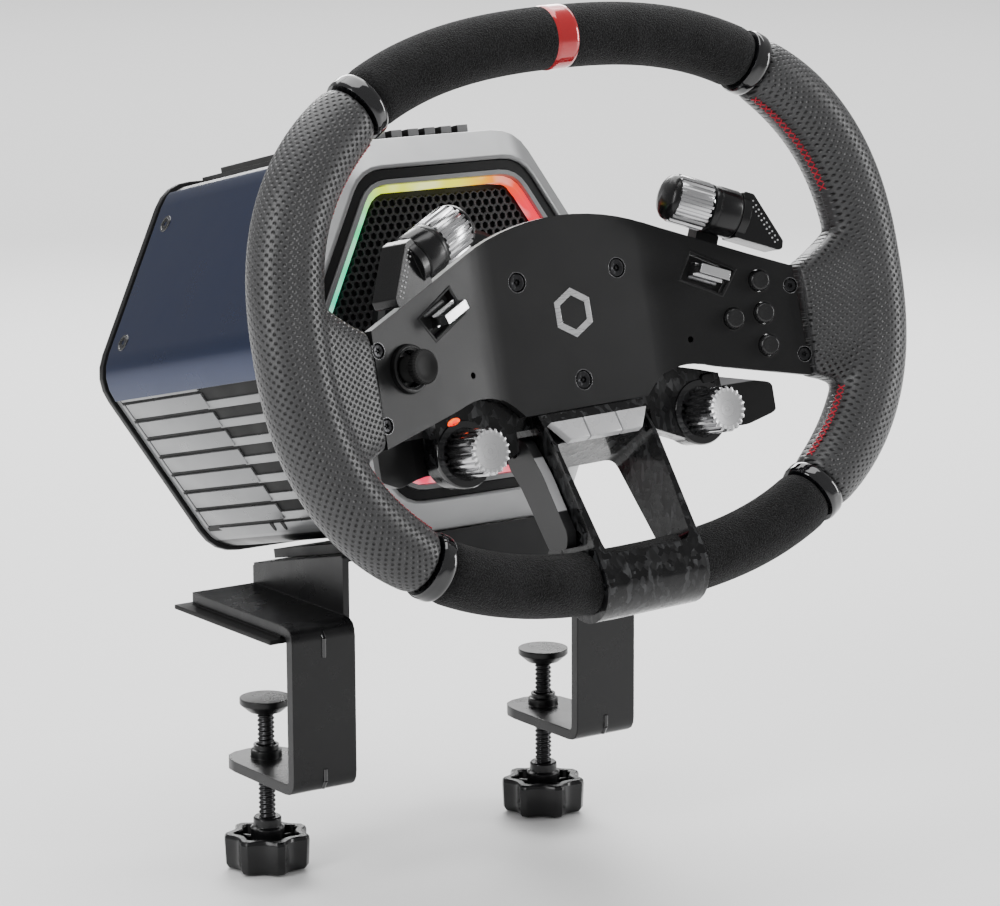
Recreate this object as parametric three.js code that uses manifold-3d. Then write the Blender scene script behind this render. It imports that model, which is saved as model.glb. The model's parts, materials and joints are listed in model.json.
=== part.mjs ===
// Desk-clamped racing wheel: direct-drive base, shaft, rim with its controls, and two desk clamps.
// Millimetres. +X is the driver's right, +Y points away from the driver, +Z is up.
// The origin lies on the desk top, midway between the two clamp feet.
import * as THREE from 'three';
import { mergeVertices } from 'three/addons/utils/BufferGeometryUtils.js';
import Module from 'manifold-3d';

const wasm = await Module();
wasm.setup();

// ---------------------------------------------------------------- driving dimensions
const GAP = 0.3; // air between two pieces that touch
const OVER = 1; // how far a cutting tool runs past the face it cuts

const SHAFT_PITCH = 12.85; // degrees the shaft points up towards the driver
const WHEEL_TURN = 1.85; // degrees the rim is turned, anticlockwise for the driver
const WHEEL_CENTRE = [0, -115, 141]; // middle of the faceplate's front face

const RIM_HALF_WIDTH = 140;
const RIM_HALF_HEIGHT = 107;
const RIM_SQUARENESS = 2.45; // 2 is an ellipse, larger is squarer
const RIM_Z = 14; // rim plane in front of the faceplate
const CORE_RADIUS = 6;
const SUEDE_RADIUS = 12.5;
const LEATHER_RADIUS = 14.8;
const COLLAR_RADIUS = 13.3;
const COLLAR_ANGLE = 43.2; // where a collar sits, from the rim's centre
const COLLAR_SPAN = 2.7; // degrees of rim that a collar covers
const MARKER_SPAN = 5.6; // degrees of rim that the top marker covers

const PLATE = 4; // faceplate thickness
const BEND_X = 41.5; // where the faceplate's wings start
const WING_ANGLE = 11.65; // degrees the wings lean towards the driver
const TOP_EDGE_ANGLE = 22.8; // slope of the wings' top edges

const BASE_APOTHEM = 82;
const BASE_CORNER = 12;
const BASE_FRONT = -79;
const BASE_SHOULDER = -92; // where the bezel's chamfer starts
const BASE_REAR = -226;
const SHELL_WALL = 4;
const VENT_COUNT = 7;
const VENT_PITCH = 9.8;

const ARM_WIDTH = 30.5;
const ARM_OUTER_X = 87;
const SHEET = 4.5; // clamp bracket thickness
const DESK_THICKNESS = 32.5;
const ARM_FRONT_Y = -40;
const SCREW_Y = 7;

// ---------------------------------------------------------------- geometry helpers
const radians = THREE.MathUtils.degToRad;

// Moves a piece; angles are in degrees.
function at(item, { x = 0, y = 0, z = 0, rx = 0, ry = 0, rz = 0 } = {}) {
  const turn = new THREE.Euler(radians(rx), radians(ry), radians(rz));
  const matrix = new THREE.Matrix4().makeRotationFromEuler(turn).setPosition(x, y, z);
  return (item.isBufferGeometry ? item.clone() : geometryOf(item)).applyMatrix4(matrix);
}

// A closed geometry as a solid that can be joined and cut.
function solid(item) {
  if (!item.isBufferGeometry) return item;
  const bare = item.clone();
  bare.deleteAttribute('normal');
  bare.deleteAttribute('uv');
  const merged = mergeVertices(bare, 1e-4);
  const corners = merged.index.array;
  const kept = [];
  for (let i = 0; i < corners.length; i += 3) {
    const [a, b, c] = [corners[i], corners[i + 1], corners[i + 2]];
    if (a !== b && b !== c && c !== a) kept.push(a, b, c);
  }
  return new wasm.Manifold(new wasm.Mesh({
    numProp: 3,
    vertProperties: new Float32Array(merged.attributes.position.array),
    triVerts: new Uint32Array(kept),
  }));
}

const join = (items) => items.map(solid).reduce((whole, piece) => whole.add(piece));
const cut = (item, tools) => tools.map(solid).reduce((whole, tool) => whole.subtract(tool), solid(item));
const common = (items) => items.map(solid).reduce((whole, piece) => whole.intersect(piece));

function geometryOf(item) {
  const mesh = solid(item).getMesh();
  const geometry = new THREE.BufferGeometry();
  geometry.setAttribute('position', new THREE.BufferAttribute(mesh.vertProperties, 3));
  geometry.setIndex(new THREE.BufferAttribute(mesh.triVerts, 1));
  geometry.computeVertexNormals();
  return geometry;
}

// A box given by its lowest and highest corners.
function box(low, high) {
  const size = high.map((value, axis) => value - low[axis]);
  const centre = high.map((value, axis) => (value + low[axis]) / 2);
  return new THREE.BoxGeometry(...size).translate(...centre);
}

// A round bar along Z.
function bar(radius, z0, z1, sides = 20) {
  return at(new THREE.CylinderGeometry(radius, radius, z1 - z0, sides), { rx: 90, z: (z0 + z1) / 2 });
}

// A round bar along X.
const barX = (radius, x0, x1, sides = 20) => at(bar(radius, x0, x1, sides), { ry: 90 });

// A flat outline raised from z0 to z1.
function prism(shape, z0, z1, curveSegments = 4) {
  const options = { depth: z1 - z0, bevelEnabled: false, curveSegments };
  return new THREE.ExtrudeGeometry(shape, options).translate(0, 0, z0);
}

// A Z-axis ring or stepped turning from its [radius, z] outline.
function turned(points, sides = 24) {
  const outline = points.concat([points[0]]).map(([r, z]) => new THREE.Vector2(r, z));
  return at(new THREE.LatheGeometry(outline, sides), { rx: 90 });
}

const polygon = (points) => new THREE.Shape(points.map(([x, y]) => new THREE.Vector2(x, y)));

// A polygon whose corners are rounded by short curves.
function rounded(points, radius) {
  const shape = new THREE.Shape();
  points.forEach((point, i) => {
    const here = new THREE.Vector2(...point);
    const before = new THREE.Vector2(...points.at(i - 1)).sub(here).setLength(radius).add(here);
    const after = new THREE.Vector2(...points[(i + 1) % points.length]).sub(here).setLength(radius).add(here);
    if (i === 0) shape.moveTo(before.x, before.y);
    else shape.lineTo(before.x, before.y);
    shape.quadraticCurveTo(here.x, here.y, after.x, after.y);
  });
  return shape;
}

const roundedBox = (w, h, z0, z1, radius) => prism(
  rounded([[-w / 2, -h / 2], [w / 2, -h / 2], [w / 2, h / 2], [-w / 2, h / 2]], radius), z0, z1);

// Mirrors an outline for the left side; reversing it keeps its turning direction.
const sided = (points, side) => (side > 0 ? points : points.map(([x, y]) => [-x, y]).reverse());

// Scales a geometry's cross-section towards one end of Z.
function tapered(geometry, z0, z1, endScale) {
  const place = geometry.attributes.position;
  for (let i = 0; i < place.count; i += 1) {
    const scale = THREE.MathUtils.lerp(1, endScale, (place.getZ(i) - z0) / (z1 - z0));
    place.setXY(i, place.getX(i) * scale, place.getY(i) * scale);
  }
  return geometry;
}

// A wheel-rimmed disc with raised teeth, as an outline.
function toothed(radius, depth, teeth) {
  const points = [];
  for (let tooth = 0; tooth < teeth; tooth += 1) {
    [[0.1, 0], [0.5, 0], [0.8, 1]].forEach(([step, sunk]) => {
      const angle = ((tooth + step) / teeth) * Math.PI * 2;
      const r = radius - sunk * depth;
      points.push([r * Math.cos(angle), r * Math.sin(angle)]);
    });
  }
  return polygon(points);
}

// ---------------------------------------------------------------- materials
function paint(color, roughness, metalness = 0, more = {}) {
  return new THREE.MeshStandardMaterial({ color, roughness, metalness, ...more });
}

const materials = {
  anodised: paint(0x17181a, 0.55, 0.6),
  aluminium: paint(0xb9babc, 0.32, 0.9),
  bezel: paint(0xc4c6c8, 0.35, 0.6),
  blue: paint(0x0a1f44, 0.18, 0.5),
  shell: paint(0x8d8f92, 0.4, 0.7),
  black: paint(0x0d0d0e, 0.5),
  gloss: paint(0x0a0a0b, 0.12),
  carbon: paint(0x1a1b1d, 0.15),
  leather: paint(0x232324, 0.6),
  suede: paint(0x161616, 0.95),
  red: paint(0xc0141c, 0.2, 0.2),
  keys: paint(0xbfc0c2, 0.4, 0.3),
  light: paint(0x7be08a, 0.4, 0, { emissive: 0x3f7f45 }),
  steel: paint(0x101112, 0.4, 0.7),
  rubber: paint(0x151515, 0.85),
  copper: paint(0x9a5a2c, 0.4, 0.9),
  board: paint(0x12502c, 0.5),
};

// ---------------------------------------------------------------- scene frames
const racingWheel = new THREE.Group();
const shaftFrame = new THREE.Group(); // local Z runs along the shaft towards the driver
shaftFrame.position.set(...WHEEL_CENTRE);
shaftFrame.rotation.x = radians(90 - SHAFT_PITCH);
const wheelFrame = new THREE.Group(); // turns with the rim
wheelFrame.rotation.z = radians(WHEEL_TURN);
racingWheel.add(shaftFrame);
shaftFrame.add(wheelFrame);

// One frame per faceplate wing: local X along the wing, local Z out of its front face.
function wingPlacement(side) {
  return { x: side * BEND_X, ry: -side * WING_ANGLE };
}

function wingFrame(side) {
  const frame = new THREE.Group();
  const { x, ry } = wingPlacement(side);
  frame.position.x = x;
  frame.rotation.y = radians(ry);
  wheelFrame.add(frame);
  return frame;
}

const wings = { left: wingFrame(-1), right: wingFrame(1) };
const SIDES = [['left', -1], ['right', 1]];
const onWing = (geometry, side) => at(geometry, wingPlacement(side));

function part(frame, name, material, item) {
  const mesh = new THREE.Mesh(geometryOf(item), materials[material]);
  mesh.name = name;
  frame.add(mesh);
  return mesh;
}

// ---------------------------------------------------------------- base: housing
function hexagon(apothem, corner) {
  const half = apothem / Math.sqrt(3);
  const points = [[-half, -apothem], [half, -apothem], [2 * half, 0], [half, apothem], [-half, apothem],
    [-2 * half, 0]];
  return rounded(points, corner);
}

const hexPrism = (apothem, corner, z0, z1) => prism(hexagon(apothem, corner), z0, z1);
const SHELL_APOTHEM = BASE_APOTHEM - 1.8; // leaves room for the blue side panels
const INNER_APOTHEM = SHELL_APOTHEM - SHELL_WALL;
const MID_CORNER_X = (2 * BASE_APOTHEM) / Math.sqrt(3);

function ventSlots() {
  const slots = [];
  SIDES.forEach(([, side]) => {
    for (let i = 0; i < VENT_COUNT; i += 1) {
      const down = 20 + i * VENT_PITCH; // along the lower slanted face
      const x = side * (MID_CORNER_X - down * Math.cos(radians(60)));
      const slot = box([-12, -2.4, -176], [12, 2.4, -104]);
      slots.push(at(slot, { x, y: -down * Math.sin(radians(60)), rz: -side * 30 }));
    }
  });
  return slots;
}

function baseShell() {
  const outside = hexPrism(SHELL_APOTHEM, BASE_CORNER, BASE_REAR, BASE_SHOULDER - 4.3);
  const inside = hexPrism(INNER_APOTHEM, BASE_CORNER, BASE_REAR - OVER, BASE_SHOULDER);
  return cut(outside, [inside, ...ventSlots()]);
}

// A blue panel wraps one upper slanted side and its middle corner.
function sidePanel(side) {
  const skin = cut(hexPrism(BASE_APOTHEM, BASE_CORNER, BASE_REAR + 3, BASE_SHOULDER - 5),
    [hexPrism(SHELL_APOTHEM + GAP, BASE_CORNER, BASE_REAR, BASE_SHOULDER)]);
  const edges = [side * 20, side * 120].sort((a, b) => a - b);
  return common([skin, box([edges[0], -10.5, -300], [edges[1], 77.5, 0])]);
}

const FIN_COUNT = 7;
const FIN_PITCH = 8.3;

function topCover() {
  const pieces = [box([-34, SHELL_APOTHEM + GAP, -218], [34, SHELL_APOTHEM + 2.2, -100])];
  for (let i = 0; i < FIN_COUNT; i += 1) {
    const x = (i - (FIN_COUNT - 1) / 2) * FIN_PITCH;
    pieces.push(box([x - 2.6, SHELL_APOTHEM + 2, -212], [x + 2.6, SHELL_APOTHEM + 5.4, -97.5]));
  }
  return join(pieces);
}

const BEZEL_INNER = 68.5;

function bezel() {
  const chamfer = tapered(hexPrism(BASE_APOTHEM, BASE_CORNER, BASE_SHOULDER, BASE_FRONT),
    BASE_SHOULDER, BASE_FRONT, (BEZEL_INNER + 1.5) / BASE_APOTHEM);
  const band = hexPrism(BASE_APOTHEM, BASE_CORNER, BASE_SHOULDER - 4, BASE_SHOULDER);
  const opening = hexPrism(BEZEL_INNER, 10, -110, -60);
  return cut(join([chamfer, band]), [opening]);
}

const LIGHT_INNER = 59;
const BOSS_RADIUS = 42;
const BEARING_RADIUS = 24;
const SHAFT_RADIUS = 12;

// Dark band, grille field, round boss and bearing seat in one moulding.
function frontPanel() {
  const band = cut(hexPrism(BEZEL_INNER - GAP, 10, -92, -80), [hexPrism(64.3, 9, -100, -70)]);
  const back = hexPrism(66, 9.5, -92, -88);
  const grille = hexPrism(LIGHT_INNER - GAP, 8, -90, -85);
  const boss = turned([[20, -92], [BOSS_RADIUS, -92], [BOSS_RADIUS, -79], [BOSS_RADIUS - 2, -77], [30, -77],
    [28, -60], [20, -60]], 32);
  const seat = turned([[BEARING_RADIUS + GAP, -120], [30, -120], [30, -91], [BEARING_RADIUS + GAP, -91]]);
  return cut(join([band, back, grille, boss, seat]), [bar(20, -93, -59)]);
}

const hexRing = (outer, inner, corner, z0, z1) => cut(
  hexPrism(outer, corner, z0, z1), [hexPrism(inner, corner - 1.5, z0 - OVER, z1 + OVER)]);

part(shaftFrame, 'base_shell', 'shell', baseShell());
SIDES.forEach(([name, side]) => part(shaftFrame, `${name}_side_panel`, 'blue', sidePanel(side)));
part(shaftFrame, 'top_vent_cover', 'black', topCover());
part(shaftFrame, 'front_bezel', 'bezel', bezel());
part(shaftFrame, 'front_panel', 'black', frontPanel());
part(shaftFrame, 'lip_ring', 'bezel', hexRing(64, 62, 9, -87.7, -79.2));
part(shaftFrame, 'light_ring', 'light', hexRing(61.7, LIGHT_INNER, 8.7, -87.7, -81));

// ---------------------------------------------------------------- base: rear cover and rail
const SOCKETS = [{ x: -24, w: 12, h: 12 }, { x: 0, w: 14, h: 9 }, { x: 24, w: 12, h: 12 }];
const SOCKET_Y = -37;
const COVER_FRONT = BASE_REAR - GAP;
const COVER_REAR = COVER_FRONT - 3.4;

function rearCover() {
  const plate = hexPrism(BASE_APOTHEM, BASE_CORNER, COVER_REAR, COVER_FRONT);
  const socketBlock = box([-36, SOCKET_Y - 9, COVER_FRONT - 1], [36, SOCKET_Y + 9, -214]);
  const seat = turned([[18 + GAP, -213], [24, -213], [24, COVER_FRONT - 1], [18 + GAP, COVER_FRONT - 1]]);
  const wells = SOCKETS.map(({ x, w, h }) => box(
    [x - w / 2, SOCKET_Y - h / 2, COVER_REAR - OVER], [x + w / 2, SOCKET_Y + h / 2, -216.5]));
  return cut(join([plate, socketBlock, seat]), wells);
}

// Flat rail under the base with the dropped front cover.
function underRail() {
  const rail = box([-44, -BASE_APOTHEM - 4.3, -182], [44, -BASE_APOTHEM - GAP, -100]);
  const cover = at(prism(rounded([[-37, -9], [37, -9], [37, 9], [-37, 9]], 7), 0, 8),
    { y: -BASE_APOTHEM - 9.3, z: -99 });
  const link = box([-30, -BASE_APOTHEM - 4.2, -101], [30, -BASE_APOTHEM - 1, -92]);
  return join([rail, cover, link]);
}

part(shaftFrame, 'rear_cover', 'black', rearCover());
part(shaftFrame, 'under_rail', 'gloss', underRail());

// ---------------------------------------------------------------- base: drive train
function motorStator() {
  const flange = hexPrism(INNER_APOTHEM - GAP, BASE_CORNER, -208, -202);
  const poles = prism(toothed(56, 4, 12), -203, -152);
  return cut(join([flange, poles]), [bar(SHAFT_RADIUS + 2, -210, -150)]);
}

const shaftBearing = (outer, z0, z1) => turned([[SHAFT_RADIUS + GAP, z0], [outer, z0], [outer, z1],
  [SHAFT_RADIUS + GAP, z1]]);

// Shaft, rotor disc and the drive flange that the quick release locks onto.
function rotorShaft() {
  return turned([[0, -224], [SHAFT_RADIUS, -224], [SHAFT_RADIUS, -148], [54, -148], [54, -132],
    [16, -132], [16, -122], [SHAFT_RADIUS, -122], [SHAFT_RADIUS, -57], [18, -57], [18, -50], [8, -50],
    [8, -34], [0, -34]], 24);
}

part(shaftFrame, 'motor_stator', 'copper', motorStator());
part(shaftFrame, 'front_bearing', 'aluminium', shaftBearing(BEARING_RADIUS, -118, -104));
part(shaftFrame, 'rear_bearing', 'aluminium', shaftBearing(18, -223, -212));
part(shaftFrame, 'control_board', 'board',
  box([-34, -INNER_APOTHEM + 1, -196], [34, -INNER_APOTHEM + 3, -110]));
part(wheelFrame, 'rotor_shaft', 'aluminium', rotorShaft());

// ---------------------------------------------------------------- wheel: quick release and housing
const HOUSING_BACK = -30;

function quickRelease() {
  const sleeve = turned([[18 + GAP, -58.5], [25, -58.5], [27, -55], [27, -38], [25, HOUSING_BACK - GAP],
    [8 + GAP, HOUSING_BACK - GAP], [8 + GAP, -49.5], [18 + GAP, -49.5]], 28);
  const grips = [];
  for (let i = 0; i < 8; i += 1) {
    const angle = (i / 8) * Math.PI * 2;
    grips.push(at(bar(4, -54, -39, 8), { x: 29.2 * Math.cos(angle), y: 29.2 * Math.sin(angle) }));
  }
  return cut(sleeve, grips);
}

// Places along an encoder: ring centre on the wing, axis along the wing's top edge.
const ENCODER = { x: 19.9, y: 35.5, z: 2.4 };
const encoderPlacement = (side) => ({
  x: side * ENCODER.x, y: ENCODER.y, z: ENCODER.z, rz: -side * TOP_EDGE_ANGLE,
});
const alongEncoder = (radius, from, to, side, sides = 24) => at(
  barX(radius, Math.min(side * from, side * to), Math.max(side * from, side * to), sides),
  encoderPlacement(side));

const STICK = { x: -46.3, y: -12.6 };
const BUTTONS = [[46.5, 0], [46.5, -13.3], [32.8, -13.6], [46.5, -26.6]];
const TOGGLE = { x: 24, y: 6.2 };
const TOGGLE_PIVOT_Z = -7;

const togglePlacement = (side) => ({ x: side * TOGGLE.x, y: TOGGLE.y, rz: -side * TOP_EDGE_ANGLE });

// What a wing carries behind the faceplate: a flat arm and the encoder's barrel on its bracket.
function wingArm(side) {
  const arm = prism(polygon(sided([[1, -27], [48.5, -33.5], [48.5, 4], [16, 18], [1, 22]], side)), -13, -PLATE - GAP);
  const spanned = [side * 9, side * 19].sort((a, b) => a - b);
  const bracket = at(box([spanned[0], -26, -13 - ENCODER.z], [spanned[1], -2, -PLATE - GAP - ENCODER.z]),
    encoderPlacement(side));
  const barrel = alongEncoder(9.7, 8, 20, side);
  const pieces = [arm, bracket, barrel];
  if (side < 0) pieces.push(at(bar(9, -6, 1.6), STICK));
  const pockets = [alongEncoder(3.4, 7, 21, side, 16),
    at(box([-10, -6.5, -14], [10, 6.5, 0]), togglePlacement(side))];
  if (side < 0) pockets.push(at(bar(7.4, -12, 3), STICK));
  else BUTTONS.forEach(([x, y]) => pockets.push(at(bar(4.9, -6, 0, 20), { x, y })));
  return onWing(cut(join(pieces), pockets), side);
}

function wheelHousing() {
  const outline = [[-44, -27], [-34, -33], [34, -33], [44, -27], [44, 22], [30, 31], [-30, 31], [-44, 22]];
  const block = prism(rounded(outline, 4), HOUSING_BACK, -PLATE - GAP);
  const tail = bar(8 - GAP, -31, -29, 24);
  const pins = SIDES.map(([, side]) => at(new THREE.CylinderGeometry(2, 2, 16, 12),
    { x: side * 40, y: -38, z: -24 }));
  const lugs = SIDES.map(([, side]) => box([side * 40 - 4, -32, -28], [side * 40 + 4, -24, -20]));
  return join([block, tail, ...pins, ...lugs, wingArm(-1), wingArm(1)]);
}

part(wheelFrame, 'quick_release', 'anodised', quickRelease());
part(wheelFrame, 'wheel_housing', 'black', wheelHousing());

// ---------------------------------------------------------------- wheel: faceplate and hub screws
const HUB_SCREWS = [[-24.5, 14], [24.5, 14], [0, -28]];
const RIM_SCREWS = [[100.9, -4], [102.5, -32.6]].map(([x, y]) => [
  (x - BEND_X) / Math.cos(radians(WING_ANGLE)), y]);

function wingOutline(side) {
  const shape = new THREE.Shape();
  shape.moveTo(side * -1, 30.4);
  shape.lineTo(side * 5.7, 27.6);
  shape.lineTo(side * 42.5, 12.1);
  shape.lineTo(side * 62.8, 3.9);
  shape.lineTo(side * 64, -41.6);
  shape.lineTo(side * 22.6, -31.6);
  shape.quadraticCurveTo(side * 9, -26.6, side * -1, -30.9);
  shape.closePath();
  return shape;
}

function faceplate() {
  const centreShape = new THREE.Shape();
  centreShape.moveTo(-BEND_X, 30);
  centreShape.quadraticCurveTo(-22, 37.8, 0, 38);
  centreShape.quadraticCurveTo(22, 37.8, BEND_X, 30);
  centreShape.lineTo(BEND_X, -30.1);
  centreShape.quadraticCurveTo(37, -31.5, 30, -38.7);
  centreShape.lineTo(-30, -38.7);
  centreShape.quadraticCurveTo(-37, -31.5, -BEND_X, -30.1);
  const centre = prism(centreShape, -PLATE, 0, 6);
  const windowOutline = [[-10.6, -5.2], [8.2, -6.4], [11.4, 4.2], [-8.8, 6.2]];
  const wingPlates = SIDES.map(([, side]) => {
    const holes = [at(prism(polygon(sided(windowOutline, side)), -9, 3), togglePlacement(side))];
    RIM_SCREWS.forEach(([x, y]) => holes.push(at(bar(3.2, -9, 3, 16), { x: side * x, y })));
    holes.push(at(bar(1.3, -9, 3, 10), { x: side * 12.3, y: -19.2 }));
    if (side < 0) holes.push(at(bar(9.6, -9, 3, 28), STICK));
    else BUTTONS.forEach(([x, y]) => holes.push(at(bar(4.9, -9, 3, 20), { x, y })));
    return onWing(cut(prism(wingOutline(side), -PLATE, 0, 6), holes), side);
  });
  const screwHoles = HUB_SCREWS.map(([x, y]) => at(bar(3.9, -6, 3, 20), { x, y }));
  return cut(join([centre, ...wingPlates]), screwHoles);
}

// Three captive screws share one backing ring behind the faceplate.
const SOCKET_HEAD = { radius: 3.5, top: -0.3, recess: 1.8 };

function hubScrews() {
  const ring = turned([[24.4, -7.8], [31.8, -7.8], [31.8, -5.2], [24.4, -5.2]], 32);
  const heads = HUB_SCREWS.map(([x, y]) => at(bar(SOCKET_HEAD.radius, -6, SOCKET_HEAD.top, 20), { x, y }));
  const drives = HUB_SCREWS.map(([x, y]) => at(bar(1.6, -SOCKET_HEAD.recess, 1, 6), { x, y }));
  return cut(join([ring, ...heads]), drives);
}

const ringGroove = turned([[24, -8.2], [32.2, -8.2], [32.2, -3], [24, -3]], 32);
part(wheelFrame, 'faceplate', 'anodised', faceplate());
part(wheelFrame, 'hub_screws', 'steel', hubScrews());
const housingMesh = wheelFrame.getObjectByName('wheel_housing');
housingMesh.geometry = geometryOf(cut(housingMesh.geometry, [ringGroove]));

// ---------------------------------------------------------------- wheel: rim
class RimCurve extends THREE.Curve {
  constructor(fromAngle, toAngle) {
    super();
    this.fromAngle = fromAngle;
    this.toAngle = toAngle;
  }

  getPoint(t) {
    const angle = radians(THREE.MathUtils.lerp(this.fromAngle, this.toAngle, t));
    const across = Math.abs(Math.cos(angle) / RIM_HALF_WIDTH) ** RIM_SQUARENESS;
    const upward = Math.abs(Math.sin(angle) / RIM_HALF_HEIGHT) ** RIM_SQUARENESS;
    const reach = (across + upward) ** (-1 / RIM_SQUARENESS);
    return new THREE.Vector3(reach * Math.cos(angle), reach * Math.sin(angle), RIM_Z);
  }
}

function rimTube(radius, fromAngle, toAngle, steps, curveSegments = 7) {
  const section = new THREE.Shape().absarc(0, 0, radius, 0, Math.PI * 2);
  const extrudePath = new RimCurve(fromAngle, toAngle);
  return new THREE.ExtrudeGeometry(section, { steps, extrudePath, bevelEnabled: false, curveSegments });
}

// Fattens a length of rim between its two ends.
function swollen(geometry, middleAngle, halfSpan, endScale) {
  const place = geometry.attributes.position;
  for (let i = 0; i < place.count; i += 1) {
    const point = new THREE.Vector3().fromBufferAttribute(place, i);
    const angle = THREE.MathUtils.radToDeg(Math.atan2(point.y, point.x));
    const away = Math.abs(THREE.MathUtils.euclideanModulo(angle - middleAngle + 180, 360) - 180) / halfSpan;
    const centre = new RimCurve(angle, angle).getPoint(0);
    const scale = THREE.MathUtils.lerp(1, endScale, Math.min(1, away) ** 5);
    point.sub(centre).multiplyScalar(scale).add(centre);
    place.setXYZ(i, point.x, point.y, point.z);
  }
  return geometry;
}

const TAB = { low: [56, -38, -8.4], high: [100, 2, -4.4] }; // in the wing's own frame

// The flat tab that the wing is screwed to; it runs out to the ring core.
function rimTab(side, grow) {
  const low = TAB.low.map((value) => value - grow);
  const high = TAB.high.map((value) => value + grow);
  const [from, to] = [side * low[0], side * high[0]].sort((a, b) => a - b);
  return onWing(box([from, low[1], low[2]], [to, high[1], high[2]]), side);
}

const COLLAR_CENTRES = [COLLAR_ANGLE, 180 - COLLAR_ANGLE, 180 + COLLAR_ANGLE, 360 - COLLAR_ANGLE];

function coreRing(radius) {
  return join([rimTube(radius, -95, 95, 20, 4), rimTube(radius, 85, 275, 20, 4)]);
}

// Ring core with its four moulded collar bands and the two tabs that take the wings.
function rimCore() {
  const collars = COLLAR_CENTRES.map((angle) => rimTube(
    COLLAR_RADIUS, angle - COLLAR_SPAN / 2, angle + COLLAR_SPAN / 2, 1, 10));
  return join([coreRing(CORE_RADIUS), ...collars, rimTab(-1, 0), rimTab(1, 0)]);
}

// The leather over one spoke end, from the wing to the rim.
function spokeWrap(side) {
  const wrap = new THREE.BoxGeometry(1, 1, 1, 1, 1, 1);
  const inner = { x: 105.5, y: [-42, 4], z: [0.5, 17] };
  const outer = { x: 134, y: [-56, 20], z: [3, 25] };
  const place = wrap.attributes.position;
  for (let i = 0; i < place.count; i += 1) {
    const end = place.getX(i) * side > 0 ? outer : inner;
    place.setXYZ(i, side * end.x, end.y[place.getY(i) > 0 ? 1 : 0], end.z[place.getZ(i) > 0 ? 1 : 0]);
  }
  return wrap;
}

const GRIP_HALF_SPAN = COLLAR_ANGLE - COLLAR_SPAN / 2 - 0.4;

function leatherGrip(side) {
  const middle = side > 0 ? 0 : 180;
  const tube = rimTube(LEATHER_RADIUS, middle - GRIP_HALF_SPAN, middle + GRIP_HALF_SPAN, 20);
  const swell = swollen(tube, middle, GRIP_HALF_SPAN, 12.7 / LEATHER_RADIUS);
  return cut(join([swell, spokeWrap(side)]), [coreRing(CORE_RADIUS + GAP), rimTab(side, GAP)]);
}

function suede(middle) {
  const half = 90 - COLLAR_ANGLE - COLLAR_SPAN / 2 - 0.4;
  return cut(rimTube(SUEDE_RADIUS, middle - half, middle + half, 16), [coreRing(CORE_RADIUS + GAP)]);
}

const markerBand = (outer, inner, grow) => {
  const half = MARKER_SPAN / 2 + grow;
  return cut(rimTube(outer, 90 - half, 90 + half, 2, 8), [rimTube(inner, 80, 100, 4, 8)]);
};

part(wheelFrame, 'rim_core', 'gloss', rimCore());
SIDES.forEach(([name, side]) => part(wheelFrame, `${name}_grip`, 'leather', leatherGrip(side)));
part(wheelFrame, 'top_suede', 'suede', cut(suede(90), [markerBand(14, 11.3, 0.15)]));
part(wheelFrame, 'bottom_suede', 'suede', suede(270));
part(wheelFrame, 'top_marker', 'red', markerBand(12.9, 11.6, 0));

// ---------------------------------------------------------------- wheel: carbon lower spoke
const SPOKE_HALF = 25;
const KEY_TILT = 24; // degrees the three keys lean up
const KEYS = { y: -47, z: 6.5, w: 15.2, h: 8.6, pitch: 15.9 };
const KNOB = { x: 58.3, y: -49 };
const POD_FRONT = -PLATE - 0.4;
const POD_BACK = -14;

// The spoke's side outline, as [y, z], wrapped round the rim at its foot.
function spokeBody() {
  const outline = new THREE.Shape();
  outline.moveTo(-33.4, -29);
  outline.lineTo(-56, -22);
  outline.lineTo(-92, 2);
  outline.absarc(-107, RIM_Z, 15.4, radians(-40), radians(68), true);
  outline.lineTo(-53, 9);
  outline.lineTo(-39.1, 0.5);
  outline.lineTo(-39.1, POD_FRONT);
  outline.lineTo(-33.4, POD_FRONT);
  outline.closePath();
  const body = prism(outline, -SPOKE_HALF, SPOKE_HALF, 10);
  // the outline was drawn in X and Y, so it is turned to stand in Y and Z
  const stand = new THREE.Matrix4().set(0, 0, 1, 0, 1, 0, 0, 0, 0, 1, 0, 0, 0, 0, 0, 1);
  return body.applyMatrix4(stand);
}

// The see-through window narrows towards the back.
function spokeWindow() {
  const outline = [[-19, 19], [-16.5, -21], [16.5, -21], [19, 19]];
  const tool = prism(rounded(outline, 4), -34, 34);
  return at(tapered(tool, -34, 34, 1.35), { y: -77, z: 2, rx: -20 });
}

function pod(side) {
  const arm = [[22, -47], [22, -33.5], [34.2, -33.5], [44.2, -27.9], [60, -31.7], [70, -34.5], [71, -49], [50, -59],
    [38, -54]];
  const pieces = [prism(polygon(sided(arm, side)), POD_BACK, POD_FRONT),
    at(bar(13.2, POD_BACK, POD_FRONT, 28), { x: side * KNOB.x, y: KNOB.y })];
  return cut(join(pieces), [at(bar(3.4, POD_BACK - 1, 0, 16), { x: side * KNOB.x, y: KNOB.y })]);
}

const keyPlacement = (index) => ({ x: (index - 1) * KEYS.pitch, y: KEYS.y, z: KEYS.z, rx: -KEY_TILT });
const PADDLE_PIN = { y: -52, z: -13 };

// An oval push button let into the right pod.
const POD_BUTTON = { x: 63.9, y: -35.9 };
const oval = (halfWidth, halfHeight, z0, z1) => at(
  roundedBox(2 * halfWidth, 2 * halfHeight, z0, z1, halfHeight * 0.9), POD_BUTTON);

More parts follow.
